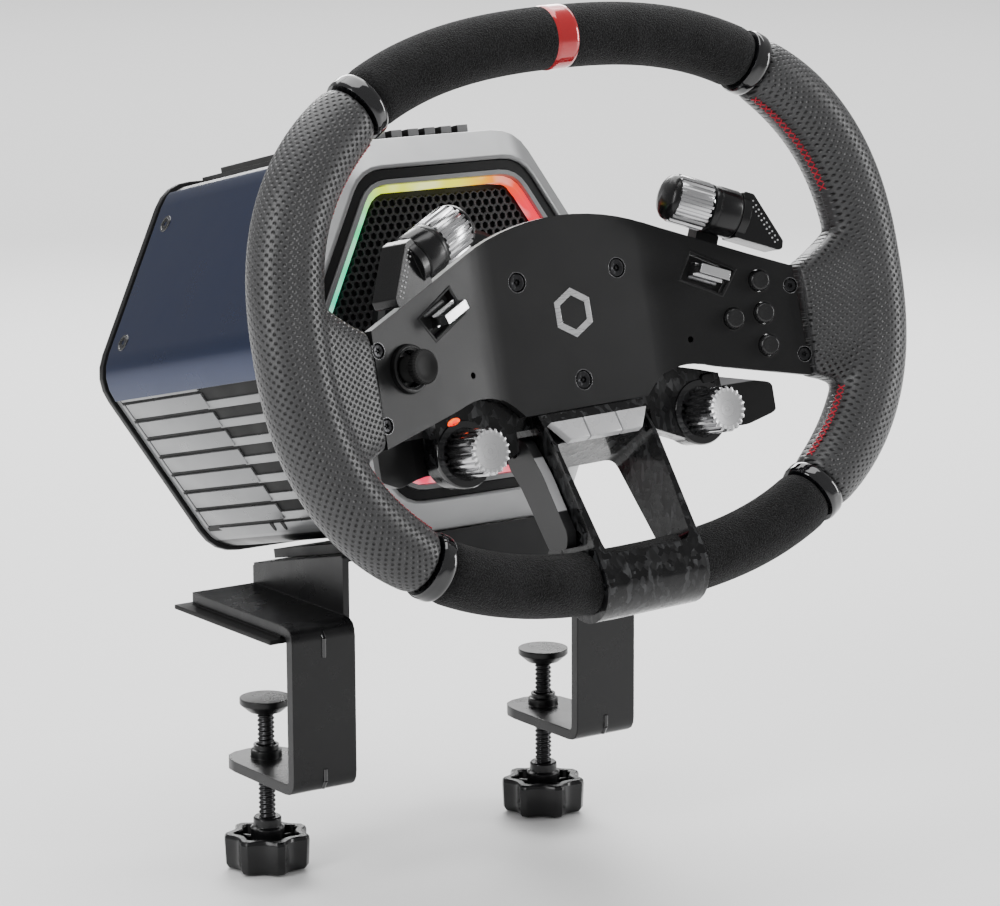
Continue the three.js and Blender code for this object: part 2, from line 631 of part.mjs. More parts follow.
function carbonSpoke() {
  const pins = SIDES.map(([, side]) => at(barX(2, Math.min(side * 24, side * 40), Math.max(side * 24, side * 40),
    12), PADDLE_PIN));
  const reach = KEYS.pitch + KEYS.w / 2 + 0.35;
  const keyPocket = at(box([-reach, -KEYS.h / 2 - 0.35, -3.4], [reach, KEYS.h / 2 + 0.35, 9]), keyPlacement(1));
  const paddleSlots = SIDES.map(([, side]) => {
    const xs = [side * (SPOKE_HALF + 0.1), side * 33].sort((a, b) => a - b);
    return box([xs[0], -70, -30], [xs[1], -44, 20]);
  });
  const body = cut(join([spokeBody(), pod(-1), pod(1)]), paddleSlots);
  return cut(join([body, ...pins]), [spokeWindow(), keyPocket, oval(3.7, 2.2, -9, 0),
    rimTube(SUEDE_RADIUS + GAP, 240, 300, 12)]);
}

part(wheelFrame, 'carbon_spoke', 'carbon', carbonSpoke());
['left', 'middle', 'right'].forEach((name, i) => part(wheelFrame, `${name}_key`, 'keys',
  at(box([-KEYS.w / 2, -KEYS.h / 2, -1.6], [KEYS.w / 2, KEYS.h / 2, 2.2]), keyPlacement(i))));
part(wheelFrame, 'pod_button', 'keys', oval(3.3, 1.8, -7, POD_FRONT + 1));

// ---------------------------------------------------------------- wheel: buttons, stick and toggles
BUTTONS.forEach(([x, y], i) => part(wings.right, `button_${i + 1}`, 'black',
  at(tapered(bar(4.3, -4, 2.6, 20), -4, 2.6, 0.96), { x, y })));

function gimbalRing() {
  return turned([[4.6, -6], [6.7, -6], [6.7, -2.4], [4.6, -2.4]], 24);
}

function thumbstick() {
  const profile = [[0, -7.4], [2.4, -7], [3.8, -5], [3.8, -3.4], [2.2, -1.6], [2.2, 5.4], [6.6, 6.2], [6.9, 8.9],
    [5.8, 9.7], [3.4, 9.1], [0, 8.9]];
  return turned(profile, 20);
}

function toggle() {
  const axle = barX(1.8, -8.6, 8.6, 14);
  const root = box([-6.6, -2.6, -1.5], [6.6, 2.6, 9]);
  const lever = box([-6.6, -1.9, 8.8], [6.6, 1.9, 15.5]);
  return join([axle, root, lever]);
}

part(wings.left, 'stick_gimbal', 'black', at(gimbalRing(), STICK));
part(wings.left, 'thumbstick', 'rubber', at(thumbstick(), STICK));
SIDES.forEach(([name, side]) => part(wings[name], `${name}_toggle`, 'aluminium',
  at(toggle(), { ...togglePlacement(side), z: TOGGLE_PIVOT_Z })));

// ---------------------------------------------------------------- wheel: encoders and knobs
function encoderRing(side) {
  const teeth = at(prism(toothed(10, 0.7, 18), -8, 7.4), { ry: 90 });
  const dome = at(turned([[0, -12.4], [6, -11.6], [8.8, -9.6], [9.4, -7.8], [0, -7.8]], 20), { ry: 90 });
  const spindle = barX(3, 7, 13.5, 14);
  const ring = join([teeth, dome, spindle]);
  return at(side > 0 ? ring : at(ring, { rz: 180 }), encoderPlacement(side));
}

// Triangular paddle on the encoder's outer end.
function encoderLever(side) {
  const outline = [[20.4, -9.6], [20.4, 9.6], [24.5, 9.6], [41.5, -5.5], [41.8, -8.6], [40.6, -9.6]];
  const wedge = prism(rounded(sided(outline, side), 0.6), -6.5, 6.5);
  const cap = barX(9.7, Math.min(side * 20.4, side * 24), Math.max(side * 20.4, side * 24), 24);
  const stub = barX(3, Math.min(side * 14.2, side * 21), Math.max(side * 14.2, side * 21), 14);
  return at(join([wedge, cap, stub]), encoderPlacement(side));
}

function lowerKnob(side) {
  const grip = prism(toothed(9.4, 0.9, 18), POD_FRONT + 0.6, 13.5);
  const spindle = bar(3, POD_BACK + 1, POD_FRONT + 1, 14);
  return at(join([grip, spindle]), { x: side * KNOB.x, y: KNOB.y });
}

SIDES.forEach(([name, side]) => {
  part(wings[name], `${name}_encoder_ring`, 'aluminium', encoderRing(side));
  part(wings[name], `${name}_encoder_lever`, 'black', encoderLever(side));
  part(wheelFrame, `${name}_lower_knob`, 'aluminium', lowerKnob(side));
});

// ---------------------------------------------------------------- wheel: paddles
function shiftPaddle(side) {
  // cranked sheet seen from above, as [x, z]
  const plan = [[35, -22.5], [74, -22.5], [97.6, -9.5], [97.6, -5.5], [73, -18.5], [35, -18.5]];
  const sheet = at(prism(polygon(sided(plan, side)), -62, -30), { rx: 90, y: -92 });
  const front = [[35, -34], [72, -34.5], [97.6, -42], [98, -54], [86, -58], [60, -54], [35, -45]];
  const outline = prism(rounded(sided(front, side), 2.5), -40, 10);
  const eye = at(new THREE.CylinderGeometry(4, 4, 10, 20), { x: side * 40, y: -39.3, z: -24 });
  const hole = at(new THREE.CylinderGeometry(2.4, 2.4, 30, 16), { x: side * 40, y: -40, z: -24 });
  return cut(join([common([sheet, outline]), eye]), [hole]);
}

// A flat bar beside the spoke, hung from a pin at its top.
function analogPaddle(side) {
  const outline = [[-47.5, -18], [-58, -18], [-66, -12], [-92, 1], [-92, 13], [-86, 15], [-62, 4.5], [-48.5, -4],
    [-46.5, -9]];
  const standing = new THREE.Matrix4().set(0, 0, 1, 0, 1, 0, 0, 0, 0, 1, 0, 0, 0, 0, 0, 1);
  const [from, to] = [side * (SPOKE_HALF + 0.6), side * 30].sort((a, b) => a - b);
  const blade = prism(rounded(outline, 2), from, to).applyMatrix4(standing);
  return cut(blade, [at(barX(2.4, -40, 40, 16), PADDLE_PIN)]);
}

SIDES.forEach(([name, side]) => {
  part(wheelFrame, `${name}_shift_paddle`, 'aluminium', shiftPaddle(side));
  part(wheelFrame, `${name}_analog_paddle`, 'keys', analogPaddle(side));
});

// ---------------------------------------------------------------- desk clamps
const clampX = ARM_OUTER_X - ARM_WIDTH / 2;
const PAD_TOP = 3.2;
const FOOT_PLATE = PAD_TOP + GAP;
const JAW_TOP = -59;
const NUT_TOP = JAW_TOP + 5.6;
const JAW_END = 22.2;
const FOOT_TOP = -DESK_THICKNESS - 0.5;
const WALL_X = 57;

// The C of the clamp in side view, as [y, z], extruded across the arm.
function clampArm(side) {
  const [front, inside] = [ARM_FRONT_Y, ARM_FRONT_Y + SHEET];
  const [top, jawLow] = [FOOT_PLATE + SHEET, JAW_TOP - SHEET];
  const shape = new THREE.Shape();
  shape.moveTo(40, top);
  shape.lineTo(front + 7, top);
  shape.quadraticCurveTo(front, top, front, top - 7);
  shape.lineTo(front, jawLow + 7);
  shape.quadraticCurveTo(front, jawLow, front + 7, jawLow);
  shape.lineTo(JAW_END, jawLow);
  shape.lineTo(JAW_END, JAW_TOP);
  shape.lineTo(inside + 2.5, JAW_TOP);
  shape.quadraticCurveTo(inside, JAW_TOP, inside, JAW_TOP + 2.5);
  shape.lineTo(inside, FOOT_PLATE - 2.5);
  shape.quadraticCurveTo(inside, FOOT_PLATE, inside + 2.5, FOOT_PLATE);
  shape.lineTo(40, FOOT_PLATE);
  shape.closePath();
  const standing = new THREE.Matrix4().set(0, 0, 1, 0, 1, 0, 0, 0, 0, 1, 0, 0, 0, 0, 0, 1);
  const arm = prism(shape, -ARM_WIDTH / 2, ARM_WIDTH / 2, 4).applyMatrix4(standing);
  return at(arm, { x: side * clampX });
}

// Rounds the jaw's free end, seen from above.
function jawTrim(side) {
  const half = ARM_WIDTH / 2;
  const keep = rounded([[-half, -60], [half, -60], [half, JAW_END], [-half, JAW_END]], 14.6);
  const sheet = box([-20, -20, -72], [20, 60, JAW_TOP + 1]);
  return at(cut(sheet, [prism(keep, -80, 0)]), { x: side * clampX });
}

// Wall and inward flange that carry the base; the flange follows the base's pitch.
function bracketWall(side) {
  const xs = [side * (WALL_X - 3), side * WALL_X].sort((a, b) => a - b);
  const wall = box([xs[0], -32, FOOT_PLATE], [xs[1], 40, 60]);
  const flangeXs = [side * 24, side * WALL_X].sort((a, b) => a - b);
  const underRailY = -BASE_APOTHEM - 4.3 - GAP;
  const toPart = new THREE.Matrix4().makeRotationX(radians(90 - SHAFT_PITCH)).setPosition(...WHEEL_CENTRE);
  const flange = box([flangeXs[0], underRailY - 3, -178], [flangeXs[1], underRailY, -106]).applyMatrix4(toPart);
  const above = box([-150, underRailY - 1, -300], [150, 100, 0]).applyMatrix4(toPart);
  const footEdge = [side * (WALL_X - 3), side * (WALL_X + 1)].sort((a, b) => a - b);
  const foot = box([footEdge[0], -32, FOOT_PLATE], [footEdge[1], 40, FOOT_PLATE + SHEET]);
  return join([cut(wall, [above]), flange, foot]);
}

function bracket(side) {
  const collar = turned([[3.9, JAW_TOP - 0.5], [6.6, JAW_TOP - 0.5], [6.6, JAW_TOP + 3.3], [5.4, JAW_TOP + 3.8],
    [5.4, NUT_TOP], [3.9, NUT_TOP]], 24);
  const nut = at(collar, { x: side * clampX, y: SCREW_Y });
  const bore = at(bar(4.3, JAW_TOP - 10, NUT_TOP + 1, 20), { x: side * clampX, y: SCREW_Y });
  const whole = cut(join([clampArm(side), bracketWall(side)]), [jawTrim(side)]);
  return cut(join([whole, nut]), [bore]);
}

// Rubber pad with a raised step under the foot plate.
function footPad(side) {
  const [from, to] = [side * 54, side * 92].sort((a, b) => a - b);
  const [stepFrom, stepTo] = [side * 55, side * 86].sort((a, b) => a - b);
  return join([box([from, -31, 0], [to, 47, 2]), box([stepFrom, -29, 1.5], [stepTo, 42, PAD_TOP])]);
}

const SCREW_RADIUS = 3.7;
const KNOB_TOP = -92;

function clampFoot() {
  return turned([[0, FOOT_TOP - 2.6], [4.4, FOOT_TOP - 2.6], [4.4, FOOT_TOP - 6], [7, FOOT_TOP - 6],
    [11, FOOT_TOP - 2.6], [11, FOOT_TOP], [0, FOOT_TOP]], 28);
}

// Coarse rolled thread as stacked ridges, with a ball tip inside the foot.
function clampScrew() {
  const ridge = 3.4;
  const outline = [[0, KNOB_TOP - 12]];
  outline.push([SCREW_RADIUS, KNOB_TOP - 12], [SCREW_RADIUS, KNOB_TOP + 10]);
  for (let z = KNOB_TOP + 10; z < FOOT_TOP - 8; z += ridge) {
    outline.push([SCREW_RADIUS - 0.6, z + ridge / 2], [SCREW_RADIUS, z + ridge]);
  }
  outline.push([SCREW_RADIUS, FOOT_TOP - 3], [0, FOOT_TOP - 3]);
  return turned(outline, 10);
}

function starKnob() {
  const shape = new THREE.Shape();
  const lobes = 7;
  for (let i = 0; i < lobes; i += 1) {
    const step = (Math.PI * 2) / lobes;
    const [a0, a1, a2] = [i * step, (i + 0.5) * step, (i + 1) * step];
    if (i === 0) shape.moveTo(18.4 * Math.cos(a0 + 0.26), 18.4 * Math.sin(a0 + 0.26));
    shape.quadraticCurveTo(15.6 * Math.cos(a1), 15.6 * Math.sin(a1),
      18.4 * Math.cos(a2 - 0.26), 18.4 * Math.sin(a2 - 0.26));
    shape.lineTo(18.4 * Math.cos(a2 + 0.26), 18.4 * Math.sin(a2 + 0.26));
  }
  const body = prism(shape, KNOB_TOP - 15, KNOB_TOP, 3);
  const dish = turned([[7, KNOB_TOP - 10], [14, KNOB_TOP - 10], [15, KNOB_TOP + 1], [7, KNOB_TOP + 1]], 28);
  const hub = bar(6, KNOB_TOP - 14, KNOB_TOP + 7, 20);
  return cut(join([cut(body, [dish]), hub]), [bar(SCREW_RADIUS + GAP, KNOB_TOP - 12.3, KNOB_TOP + 9, 20)]);
}

SIDES.forEach(([name, side]) => {
  const screwPlace = { x: side * clampX, y: SCREW_Y };
  part(racingWheel, `${name}_bracket`, 'steel', bracket(side));
  part(racingWheel, `${name}_foot_pad`, 'rubber', footPad(side));
  part(racingWheel, `${name}_clamp_foot`, 'steel', at(clampFoot(), screwPlace));
  part(racingWheel, `${name}_clamp_screw`, 'steel', at(clampScrew(), screwPlace));
  part(racingWheel, `${name}_clamp_knob`, 'black', at(starKnob(), screwPlace));
});

export default racingWheel;
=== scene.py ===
import json
import math

import bmesh
import bpy
from mathutils import Matrix, Vector

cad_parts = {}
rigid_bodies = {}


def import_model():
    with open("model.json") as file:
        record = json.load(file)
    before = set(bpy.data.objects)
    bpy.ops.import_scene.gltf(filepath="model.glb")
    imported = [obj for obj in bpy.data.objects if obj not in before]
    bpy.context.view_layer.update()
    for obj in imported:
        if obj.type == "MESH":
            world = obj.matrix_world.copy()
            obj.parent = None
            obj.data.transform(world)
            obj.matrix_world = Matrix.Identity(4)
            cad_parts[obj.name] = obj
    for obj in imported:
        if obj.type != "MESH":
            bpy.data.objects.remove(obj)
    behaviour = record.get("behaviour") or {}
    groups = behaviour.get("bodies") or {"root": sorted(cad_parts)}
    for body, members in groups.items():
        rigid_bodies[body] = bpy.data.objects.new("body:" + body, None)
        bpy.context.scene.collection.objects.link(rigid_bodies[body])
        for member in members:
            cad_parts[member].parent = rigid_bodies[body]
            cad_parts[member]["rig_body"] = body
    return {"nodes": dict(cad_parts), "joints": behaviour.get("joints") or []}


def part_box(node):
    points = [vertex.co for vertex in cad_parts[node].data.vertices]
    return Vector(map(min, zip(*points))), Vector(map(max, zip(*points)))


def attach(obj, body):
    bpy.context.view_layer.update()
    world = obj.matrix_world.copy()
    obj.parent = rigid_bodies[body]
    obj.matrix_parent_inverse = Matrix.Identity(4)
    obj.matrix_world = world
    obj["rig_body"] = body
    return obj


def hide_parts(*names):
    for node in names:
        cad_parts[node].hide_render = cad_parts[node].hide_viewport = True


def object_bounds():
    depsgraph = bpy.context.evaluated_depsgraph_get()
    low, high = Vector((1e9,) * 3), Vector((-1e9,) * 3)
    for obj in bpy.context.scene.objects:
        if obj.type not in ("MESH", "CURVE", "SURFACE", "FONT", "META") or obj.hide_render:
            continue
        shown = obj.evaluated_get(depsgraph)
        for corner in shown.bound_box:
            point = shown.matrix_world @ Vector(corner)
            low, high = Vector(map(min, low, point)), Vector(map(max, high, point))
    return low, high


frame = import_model()
cad_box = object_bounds()

# ------------------ driving dimensions
# A piece is made in millimetres in the frame of the body it belongs to, then placed in metres.
MM = 0.001
SHAFT_PITCH = math.radians(12.85)  # the shaft points up at the driver
WHEEL_TURN = math.radians(1.85)  # the rim is turned anticlockwise
WING_ANGLE = math.radians(11.65)
WING_BEND = 41.5
EDGE_ANGLE = math.radians(22.8)  # slope of the wings' top edges

RIM_WIDTH, RIM_HEIGHT, RIM_POWER, RIM_Z = 140.0, 107.0, 2.45, 14.0
LEATHER, SUEDE, COLLAR, MARKER = 14.8, 12.5, 13.3, 12.9
COLLAR_ANGLE, COLLAR_SPAN, MARKER_SPAN = 43.2, 2.7, 5.6

BASE_APOTHEM, SHELL_APOTHEM = 82.0, 80.2
GRILLE_APOTHEM, GRILLE_Z, BOSS = 58.7, -85.0, 42.0
VENT_COUNT, SLAT_PITCH, SLAT_START = 7, 9.8 * 0.985, 14.4

ENCODER = (19.9, 35.5, 2.4)
KNOB = (58.3, -49.0)
STICK = (-46.3, -12.6)
BUTTONS = ((46.5, 0.0), (46.5, -13.3), (32.8, -13.6), (46.5, -26.6))
TOGGLE = (24.0, 6.2)
HUB_SCREWS = ((-24.5, 14.0), (24.5, 14.0), (0.0, -28.0))
WING_SCREWS = ((100.9, -4.0), (102.5, -32.6))
PANEL_SCREWS, PANEL_SCREW_Z = ((58.0, 63.4), (86.5, 14.1)), -213.0
CLAMP_X, CLAMP_Y, CLAMP_KNOB_Z = 71.75, 7.0, -92.0
SIDES = (("left", -1), ("right", 1))
HALF_ROOT_3 = math.sqrt(3) / 2

# heights and widths between which a painted surface changes colour; at FIN_TOPS the painted shade of the fin
# grooves gives way to grey
UNDERSIDE, FIN_TOPS = (-76.6, -76.2), (SHELL_APOTHEM + 2.3, SHELL_APOTHEM + 2.7)
PAD_LOW, PAD_HIGH = (-77.2, -76.8), (-55.0, -55.4)
BARE_INSIDE, BARE_ABOVE = (91.0, 91.4), (-40.4, -40.1)

joints = {j["name"]: j for j in frame["joints"]}
hub = Vector(joints["wheel_turn"]["pos_m"])
PART = Matrix.Identity(4)
SHAFT = Matrix.Translation(hub) @ Matrix.Rotation(math.pi / 2 - SHAFT_PITCH, 4, "X")
WHEEL = SHAFT @ Matrix.Rotation(WHEEL_TURN, 4, "Z")


def move(x=0.0, y=0.0, z=0.0):
    """A shift given in millimetres."""
    return Matrix.Translation((x * MM, y * MM, z * MM))


def wing(side):
    """Frame of one wing of the plate, from its bend outwards."""
    return WHEEL @ move(side * WING_BEND) @ Matrix.Rotation(-side * WING_ANGLE, 4, "Y")


def encoder_axis(side):
    """Frame whose Z runs outwards along an upper encoder."""
    x, y, z = ENCODER
    tilt = Matrix.Rotation(-side * EDGE_ANGLE, 4, "Z") @ Matrix.Rotation(side * math.pi / 2, 4, "Y")
    return wing(side) @ move(side * x, y, z) @ tilt


# ------------------ materials
class Finish:
    """A node material. Its patterns read the piece's own millimetres."""

    def __init__(self, name, colour, roughness, metallic=0.0, edge=0.0, **sockets):
        self.material = bpy.data.materials.new(name)
        self.material.use_nodes = True
        self.tree = self.material.node_tree
        self.shader = next(n for n in self.tree.nodes if n.type == "BSDF_PRINCIPLED")
        self.set("Base Color", (*colour, 1.0))
        self.set("Roughness", roughness)
        self.set("Metallic", metallic)
        for socket, value in sockets.items():
            self.set(socket.replace("_", " ").title().replace("Ior", "IOR"), value)
        self.position = self.add("TexCoord").outputs["Object"]
        self.normal = None
        if edge:
            self.normal = self.add("Bevel", {"Radius": edge * MM}, samples=4).outputs["Normal"]
            self.set("Normal", self.normal)

    def feed(self, socket, value):
        if isinstance(value, bpy.types.NodeSocket):
            self.tree.links.new(value, socket)
        else:
            socket.default_value = value

    def set(self, socket, value):
        self.feed(self.shader.inputs[socket], value)

    def add(self, kind, inputs=None, **settings):
        node = self.tree.nodes.new("ShaderNode" + kind)
        for key, value in settings.items():
            setattr(node, key, value)
        for socket, value in (inputs or {}).items():
            self.feed(node.inputs[socket], value)
        return node

    def math(self, operation, a, b=0.0):
        return self.add("Math", {0: a, 1: b}, operation=operation).outputs[0]

    def hypot(self, a, b):
        squares = [self.math("POWER", v, 2.0) for v in (a, b)]
        return self.math("SQRT", self.math("ADD", *squares))

    def axis(self, index):
        """One coordinate of the position on the piece."""
        return self.add("SeparateXYZ", {0: self.position}).outputs[index]

    def stretched(self, x, y, z):
        node = self.add("VectorMath", {0: self.position, 1: (x, y, z)}, operation="MULTIPLY")
        return node.outputs[0]

    def noise(self, scale, detail=3.0, where=None):
        inputs = {"Vector": where or self.position, "Scale": scale, "Detail": detail}
        return self.add("TexNoise", inputs).outputs[0]

    def remap(self, value, low, high, to_low=0.0, to_high=1.0):
        inputs = {0: value, 1: low, 2: high, 3: to_low, 4: to_high}
        return self.add("MapRange", inputs, clamp=True).outputs[0]

    def facing(self, index, low, high, to_low=0.0, to_high=1.0):
        """How squarely the surface looks along an axis, remapped."""
        normal = self.add("SeparateXYZ", {0: self.add("TexCoord").outputs["Normal"]})
        return self.remap(self.math("ABSOLUTE", normal.outputs[index]), low, high, to_low, to_high)

    def blend(self, factor, a, b):
        colour = [(*v, 1.0) if isinstance(v, tuple) and len(v) == 3 else v for v in (a, b)]
        node = self.add("Mix", data_type="RGBA")
        self.feed(node.inputs[0], factor)
        self.feed(node.inputs[6], colour[0])
        self.feed(node.inputs[7], colour[1])
        return node.outputs[2]

    def paint(self, factor, a, b):
        self.set("Base Color", self.blend(factor, a, b))

    def bump(self, height, depth):
        """Raises the surface by up to depth millimetres."""
        node = self.add("Bump", {"Height": height, "Distance": depth * MM, "Strength": 1.0})
        if self.normal:
            self.feed(node.inputs["Normal"], self.normal)
        self.normal = node.outputs["Normal"]
        self.set("Normal", self.normal)

    def vary(self, colour, amount, scale):
        """Slow drift of the colour over the surface."""
        dark = tuple(c * (1 - amount) for c in colour)
        light = tuple(min(1.0, c * (1 + amount)) for c in colour)
        self.paint(self.noise(scale), dark, light)

    def rough_between(self, low, high, scale, detail=4.0):
        self.set("Roughness", self.remap(self.noise(scale, detail), 0.3, 0.7, low, high))

    def brush(self, low, high):
        """Fine straight lines along X, in the gloss and in the relief."""
        lines = self.noise(3.0, 3.0, self.stretched(0.05, 1.0, 1.0))
        self.set("Roughness", self.remap(lines, 0.3, 0.7, low, high))
        self.bump(lines, 0.01)


def plain(name, colour, roughness, metallic=0.0, grain=6.0, depth=0.01, spread=0.06, edge=0.25, **sockets):
    """A moulded, painted or machined surface: fine grain, slight drift and rounded edges."""
    finish = Finish(name, colour, roughness, metallic, edge, **sockets)
    finish.vary(colour, 0.12, 0.03)
    finish.rough_between(max(0.02, roughness - spread), roughness + spread, 0.08)
    finish.bump(finish.noise(grain, 2.0), depth)
    return finish.material


def leather():
    """Perforated leather: staggered punched holes, filled with painted shade, over a fine grain."""
    finish = Finish("perforated_leather", (0.03, 0.03, 0.031), 0.42, specular_ior_level=0.5)
    uv = finish.add("SeparateXYZ", {0: finish.add("UVMap", uv_map="surface_mm").outputs[0]})
    along, around = uv.outputs[0], uv.outputs[1]
    pitch_along, pitch_around, hole = 3.2, 1.8, 0.6
    row = finish.math("DIVIDE", around, pitch_around)
    odd = finish.math("MULTIPLY", finish.math("MODULO", finish.math("FLOOR", row), 2.0), 0.5)
    step = finish.math("ADD", finish.math("DIVIDE", along, pitch_along), odd)
    x = finish.math("MULTIPLY", finish.math("SUBTRACT", finish.math("FRACT", step), 0.5), pitch_along)
    y = finish.math("MULTIPLY", finish.math("SUBTRACT", finish.math("FRACT", row), 0.5), pitch_around)
    reach = finish.hypot(x, y)
    punched = finish.remap(reach, hole - 0.12, hole + 0.08, 1.0, 0.0)
    grain = finish.noise(1.4, 6.0)
    worn = finish.noise(0.05, 2.0)
    skin = finish.blend(worn, (0.034, 0.034, 0.035), (0.056, 0.056, 0.058))
    # the holes are only a bump: painting them near black is painted shade inside the holes
    finish.paint(punched, skin, (0.001, 0.001, 0.001))
    finish.set("Roughness", finish.remap(grain, 0.3, 0.7, 0.3, 0.44))
    sunk = finish.remap(reach, 0.1, hole + 0.3, 1.0, 0.0)
    finish.bump(finish.math("SUBTRACT", finish.math("MULTIPLY", grain, 0.15), sunk), 0.6)
    return finish.material


def suede():
    """Short-napped suede with lighter brushed patches."""
    finish = Finish("brushed_suede", (0.012, 0.012, 0.012), 0.95, sheen_weight=0.12, sheen_roughness=0.4,
                    specular_ior_level=0.15)
    nap = finish.noise(1.6, 6.0)
    brushed = finish.noise(0.06, 2.0)
    both = finish.math("ADD", finish.math("MULTIPLY", nap, 0.75), finish.math("MULTIPLY", brushed, 0.25))
    finish.paint(finish.remap(both, 0.38, 0.62), (0.003, 0.003, 0.003), (0.022, 0.022, 0.023))
    finish.bump(nap, 0.9)
    return finish.material


def forged_carbon():
    """Chopped carbon chips at random angles under a clear coat."""
    finish = Finish("forged_carbon", (0.01, 0.01, 0.01), 0.3, 0.25, edge=0.5, coat_weight=0.5,
                    coat_roughness=0.04, coat_ior=1.35, specular_ior_level=0.3)
    drift = finish.add("TexNoise", {"Vector": finish.position, "Scale": 0.12}).outputs[1]
    warp = finish.add("VectorMath", {0: finish.position, 1: drift}, operation="ADD").outputs[0]
    chips = finish.add("TexVoronoi", {"Vector": warp, "Scale": 0.3, "Randomness": 1.0}, distance="MANHATTAN")
    flakes = finish.add("TexVoronoi", {"Vector": finish.stretched(1.0, 0.35, 1.0), "Scale": 0.5})
    shade = finish.add("SeparateColor", {0: chips.outputs["Color"]}).outputs[0]
    glint = finish.add("SeparateColor", {0: flakes.outputs["Color"]}).outputs[1]
    both = finish.math("MULTIPLY", shade, glint)
    finish.paint(finish.remap(both, 0.3, 0.8), (0.0025, 0.0025, 0.003), (0.04, 0.041, 0.043))
    finish.set("Roughness", finish.remap(shade, 0.0, 1.0, 0.16, 0.4))
    finish.bump(chips.outputs["Distance"], 0.05)
    return finish.material


def spun_metal(name, colour, roughness):
    """Turned aluminium with fine circular tool marks on the faces across its Z axis."""
    finish = Finish(name, colour, roughness, 1.0)
    radius = finish.hypot(finish.axis(0), finish.axis(1))
    section = finish.add("CombineXYZ", {0: radius, 2: finish.axis(2)}).outputs[0]
    marks = finish.math("MULTIPLY", finish.noise(5.0, 2.0, section), finish.facing(2, 0.6, 0.85))
    finish.set("Roughness", finish.remap(marks, 0.0, 0.7, roughness - 0.04, roughness + 0.1))
    finish.bump(marks, 0.02)
    return finish.material


def brushed_metal(name, colour, roughness, metallic=1.0):
    """Metal with fine straight lines along X."""
    finish = Finish(name, colour, roughness, metallic, edge=0.3)
    finish.brush(roughness - 0.06, roughness + 0.08)
    return finish.material


def anodised_black():
    """Bead-blasted black anodising with a fine sparkle."""
    finish = Finish("black_anodised", (0.012, 0.012, 0.013), 0.4, 0.2, edge=0.3, specular_ior_level=0.4)
    grain = finish.noise(5.0, 3.0)
    finish.paint(finish.remap(grain, 0.35, 0.65), (0.004, 0.004, 0.004), (0.012, 0.012, 0.013))
    finish.rough_between(0.36, 0.42, 0.05)
    finish.bump(grain, 0.03)
    return finish.material


def navy_gloss():
    """Deep blue metallic lacquer under a clear coat."""
    finish = Finish("navy_lacquer", (0.003, 0.013, 0.045), 0.3, 0.75, edge=0.4, coat_weight=0.35,
                    coat_roughness=0.08, specular_ior_level=0.3)
    flake = finish.noise(9.0, 1.0)
    finish.paint(finish.remap(flake, 0.4, 0.7), (0.001, 0.008, 0.04), (0.004, 0.02, 0.085))
    finish.rough_between(0.26, 0.36, 0.04)
    return finish.material


def lit_ring():
    """Diffuser whose colour runs round the ring: green, yellow, orange, red, pink."""
    finish = Finish("lit_diffuser", (0.5, 0.5, 0.5), 0.3, specular_ior_level=0.4)
    turn = finish.math("ARCTAN2", finish.axis(1), finish.axis(0))
    share = finish.math("ADD", finish.math("DIVIDE", turn, 2 * math.pi), 0.5)
    ramp = finish.add("ValToRGB", {0: share})
    stops = ((0.0, (1.0, 0.04, 0.14)), (0.3, (1.0, 0.03, 0.1)), (0.64, (1.0, 0.02, 0.05)),
             (0.675, (1.0, 0.1, 0.0)), (0.7, (1.0, 0.5, 0.0)), (0.73, (0.95, 0.9, 0.02)),
             (0.82, (0.8, 0.95, 0.02)), (0.86, (0.05, 0.85, 0.3)), (1.0, (0.0, 0.75, 0.5)))
    ramp.color_ramp.elements[0].position = stops[0][0]
    ramp.color_ramp.elements[1].position = stops[-1][0]
    for place, _ in stops[1:-1]:
        ramp.color_ramp.elements.new(place)
    for element, (_, colour) in zip(ramp.color_ramp.elements, stops):
        element.color = (*colour, 1.0)
    hazy = finish.remap(finish.noise(0.09, 1.0), 0.45, 0.7, 0.0, 0.35)
    shine = finish.blend(hazy, ramp.outputs[0], (1.0, 1.0, 1.0))
    finish.paint(0.85, shine, (0.02, 0.02, 0.02))
    finish.set("Emission Color", shine)
    finish.set("Emission Strength", 1.5)
    return finish.material


def shell_paint():
    """Grey metallic paint with the underside left black."""
    finish = Finish("grey_shell", (0.34, 0.345, 0.35), 0.36, 0.5, edge=0.3)
    under = finish.remap(finish.axis(1), *UNDERSIDE, 1.0, 0.0)
    drift = finish.blend(finish.noise(0.03), (0.25, 0.253, 0.257), (0.3, 0.303, 0.307))
    finish.paint(under, drift, (0.008, 0.008, 0.008))
    finish.rough_between(0.3, 0.42, 0.08)
    finish.bump(finish.noise(6.0, 2.0), 0.008)
    return finish.material


def finned_cover():
    """Satin grey fins with painted shade: the grooves between them and the fins' sides are painted black."""
    finish = Finish("finned_cover", (0.2, 0.2, 0.2), 0.36, 0.3, edge=0.3)
    raised = finish.remap(finish.axis(1), *FIN_TOPS)
    raised = finish.math("MULTIPLY", raised, finish.facing(0, 0.5, 0.8, 1.0, 0.0))
    # where the mask is 0, in the grooves and on the fins' sides, the colour is painted shade
    finish.paint(raised, (0.006, 0.006, 0.006), (0.2, 0.202, 0.205))
    finish.rough_between(0.3, 0.42, 0.08)
    finish.bump(finish.noise(6.0, 2.0), 0.01)
    return finish.material


def two_tone_paddle():
    """Light grey finger pad on a black blade."""
    finish = Finish("analog_paddle", (0.5, 0.5, 0.5), 0.35, edge=0.3)
    height = finish.axis(1)
    pad = finish.math("MULTIPLY", finish.remap(height, *PAD_LOW), finish.remap(height, *PAD_HIGH))
    pad = finish.math("MULTIPLY", pad, finish.facing(0, 0.5, 0.8, 1.0, 0.0))
    finish.paint(pad, (0.012, 0.012, 0.013), (0.5, 0.5, 0.51))
    finish.bump(finish.noise(4.0, 3.0), 0.02)
    finish.bump(pad, 0.25)
    return finish.material


